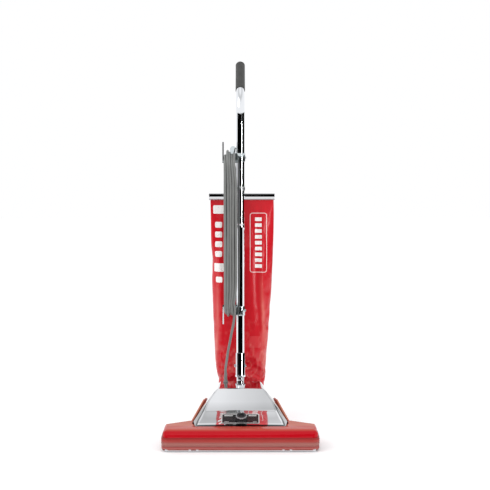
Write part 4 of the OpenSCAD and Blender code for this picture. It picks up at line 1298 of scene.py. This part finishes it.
def make_card(name, first, last, steps, edges, material):
    """A black card between two edges (radius, height), seen only in reflections."""
    sides = [[(*spot, height) for spot in around(first, last, steps, radius)] for radius, height in edges]
    mesh = bpy.data.meshes.new(name)
    mesh.from_pydata([spot for pair in zip(*sides) for spot in pair], [],
                     [(2 * k, 2 * k + 2, 2 * k + 3, 2 * k + 1) for k in range(steps)])
    mesh.materials.append(material)
    card = in_scene(name, mesh)
    card.visible_camera = card.visible_shadow = card.visible_diffuse = False


def make_stage():
    floor_material = surface("studio_floor", (0.99, 0.99, 0.99), (0.98, 0.98, 0.98), rough=0.8, spread=0.05,
                             patches=1.5, grain=40, bump=0.02, specular=0.0)
    glow = floor_material.node_tree.nodes["Principled BSDF"]
    glow.inputs["Emission Color"].default_value = (1, 1, 1, 1)
    glow.inputs["Emission Strength"].default_value = FLOOR_GLOW
    bpy.ops.mesh.primitive_plane_add(size=30, location=(0, 0, -0.0005))
    floor = bpy.context.object
    floor.name = "studio_floor"
    floor.data.materials.append(floor_material)
    black = surface("black_card", (0.001, 0.001, 0.001), rough=0.9, grain=20, specular=0.0)
    upright = ((WALL_R, 0.0), (WALL_R, WALL_TOP))
    make_card("card_left", -88, 40, 32, upright, black)
    make_card("card_right", 43.5, 150, 26, upright, black)
    make_card("card_floor", -68, 68, 24, (CARD_FLOOR, (WALL_R, CARD_FLOOR[1])), black)


# Height of the view direction, and how bright the studio is there
STUDIO_LEVELS = ((0.0, 1.0), (0.5, 1.0), (0.68, 0.93), (0.80, 0.72), (0.87, 0.66), (0.94, 0.86), (0.975, 1.0))


def make_world():
    world = bpy.data.worlds.new("studio")
    bpy.context.scene.world = world
    world.use_nodes = True
    tree = world.node_tree
    kinds = ("ShaderNodeTexCoord", "ShaderNodeSeparateXYZ", "ShaderNodeValToRGB")
    coordinates, split, ramp = [tree.nodes.new(kind) for kind in kinds]
    tree.links.new(coordinates.outputs["Generated"], split.inputs[0])
    tree.links.new(split.outputs["Z"], ramp.inputs["Fac"])
    tree.links.new(ramp.outputs["Color"], tree.nodes["Background"].inputs["Color"])
    colour_stops(ramp, [(height, (level, level, level * 1.01)) for height, level in STUDIO_LEVELS])
    tree.nodes["Background"].inputs["Strength"].default_value = 1.0


def softbox(name, location, aim, size, power):
    data = bpy.data.lights.new(name, "AREA")
    data.shape = "RECTANGLE"
    data.size, data.size_y = size
    data.energy = power
    lamp = in_scene(name, data)
    lamp.location = location
    lamp.rotation_euler = (Vector(aim) - Vector(location)).to_track_quat("-Z", "Y").to_euler()


def make_light():
    sun = bpy.data.lights.new("soft_sun", "SUN")
    sun.energy, sun.angle = 0.30, math.radians(75)
    sun_lamp = in_scene("soft_sun", sun)
    sun_lamp.rotation_euler = (math.radians(32), math.radians(-22), 0)
    sun_lamp.visible_glossy = False
    softbox("key_light", (-2.4, -1.6, 2.9), (0, 0, 0.4), (1.8, 1.8), 24)
    softbox("strip_light", (*around(0, 42, 1, 3.5)[1], 0.62), (0, 0, 0.5), (0.17, 0.95), 16)


make_stage()
make_world()
make_light()
bpy.context.scene.view_settings.view_transform = "Standard"
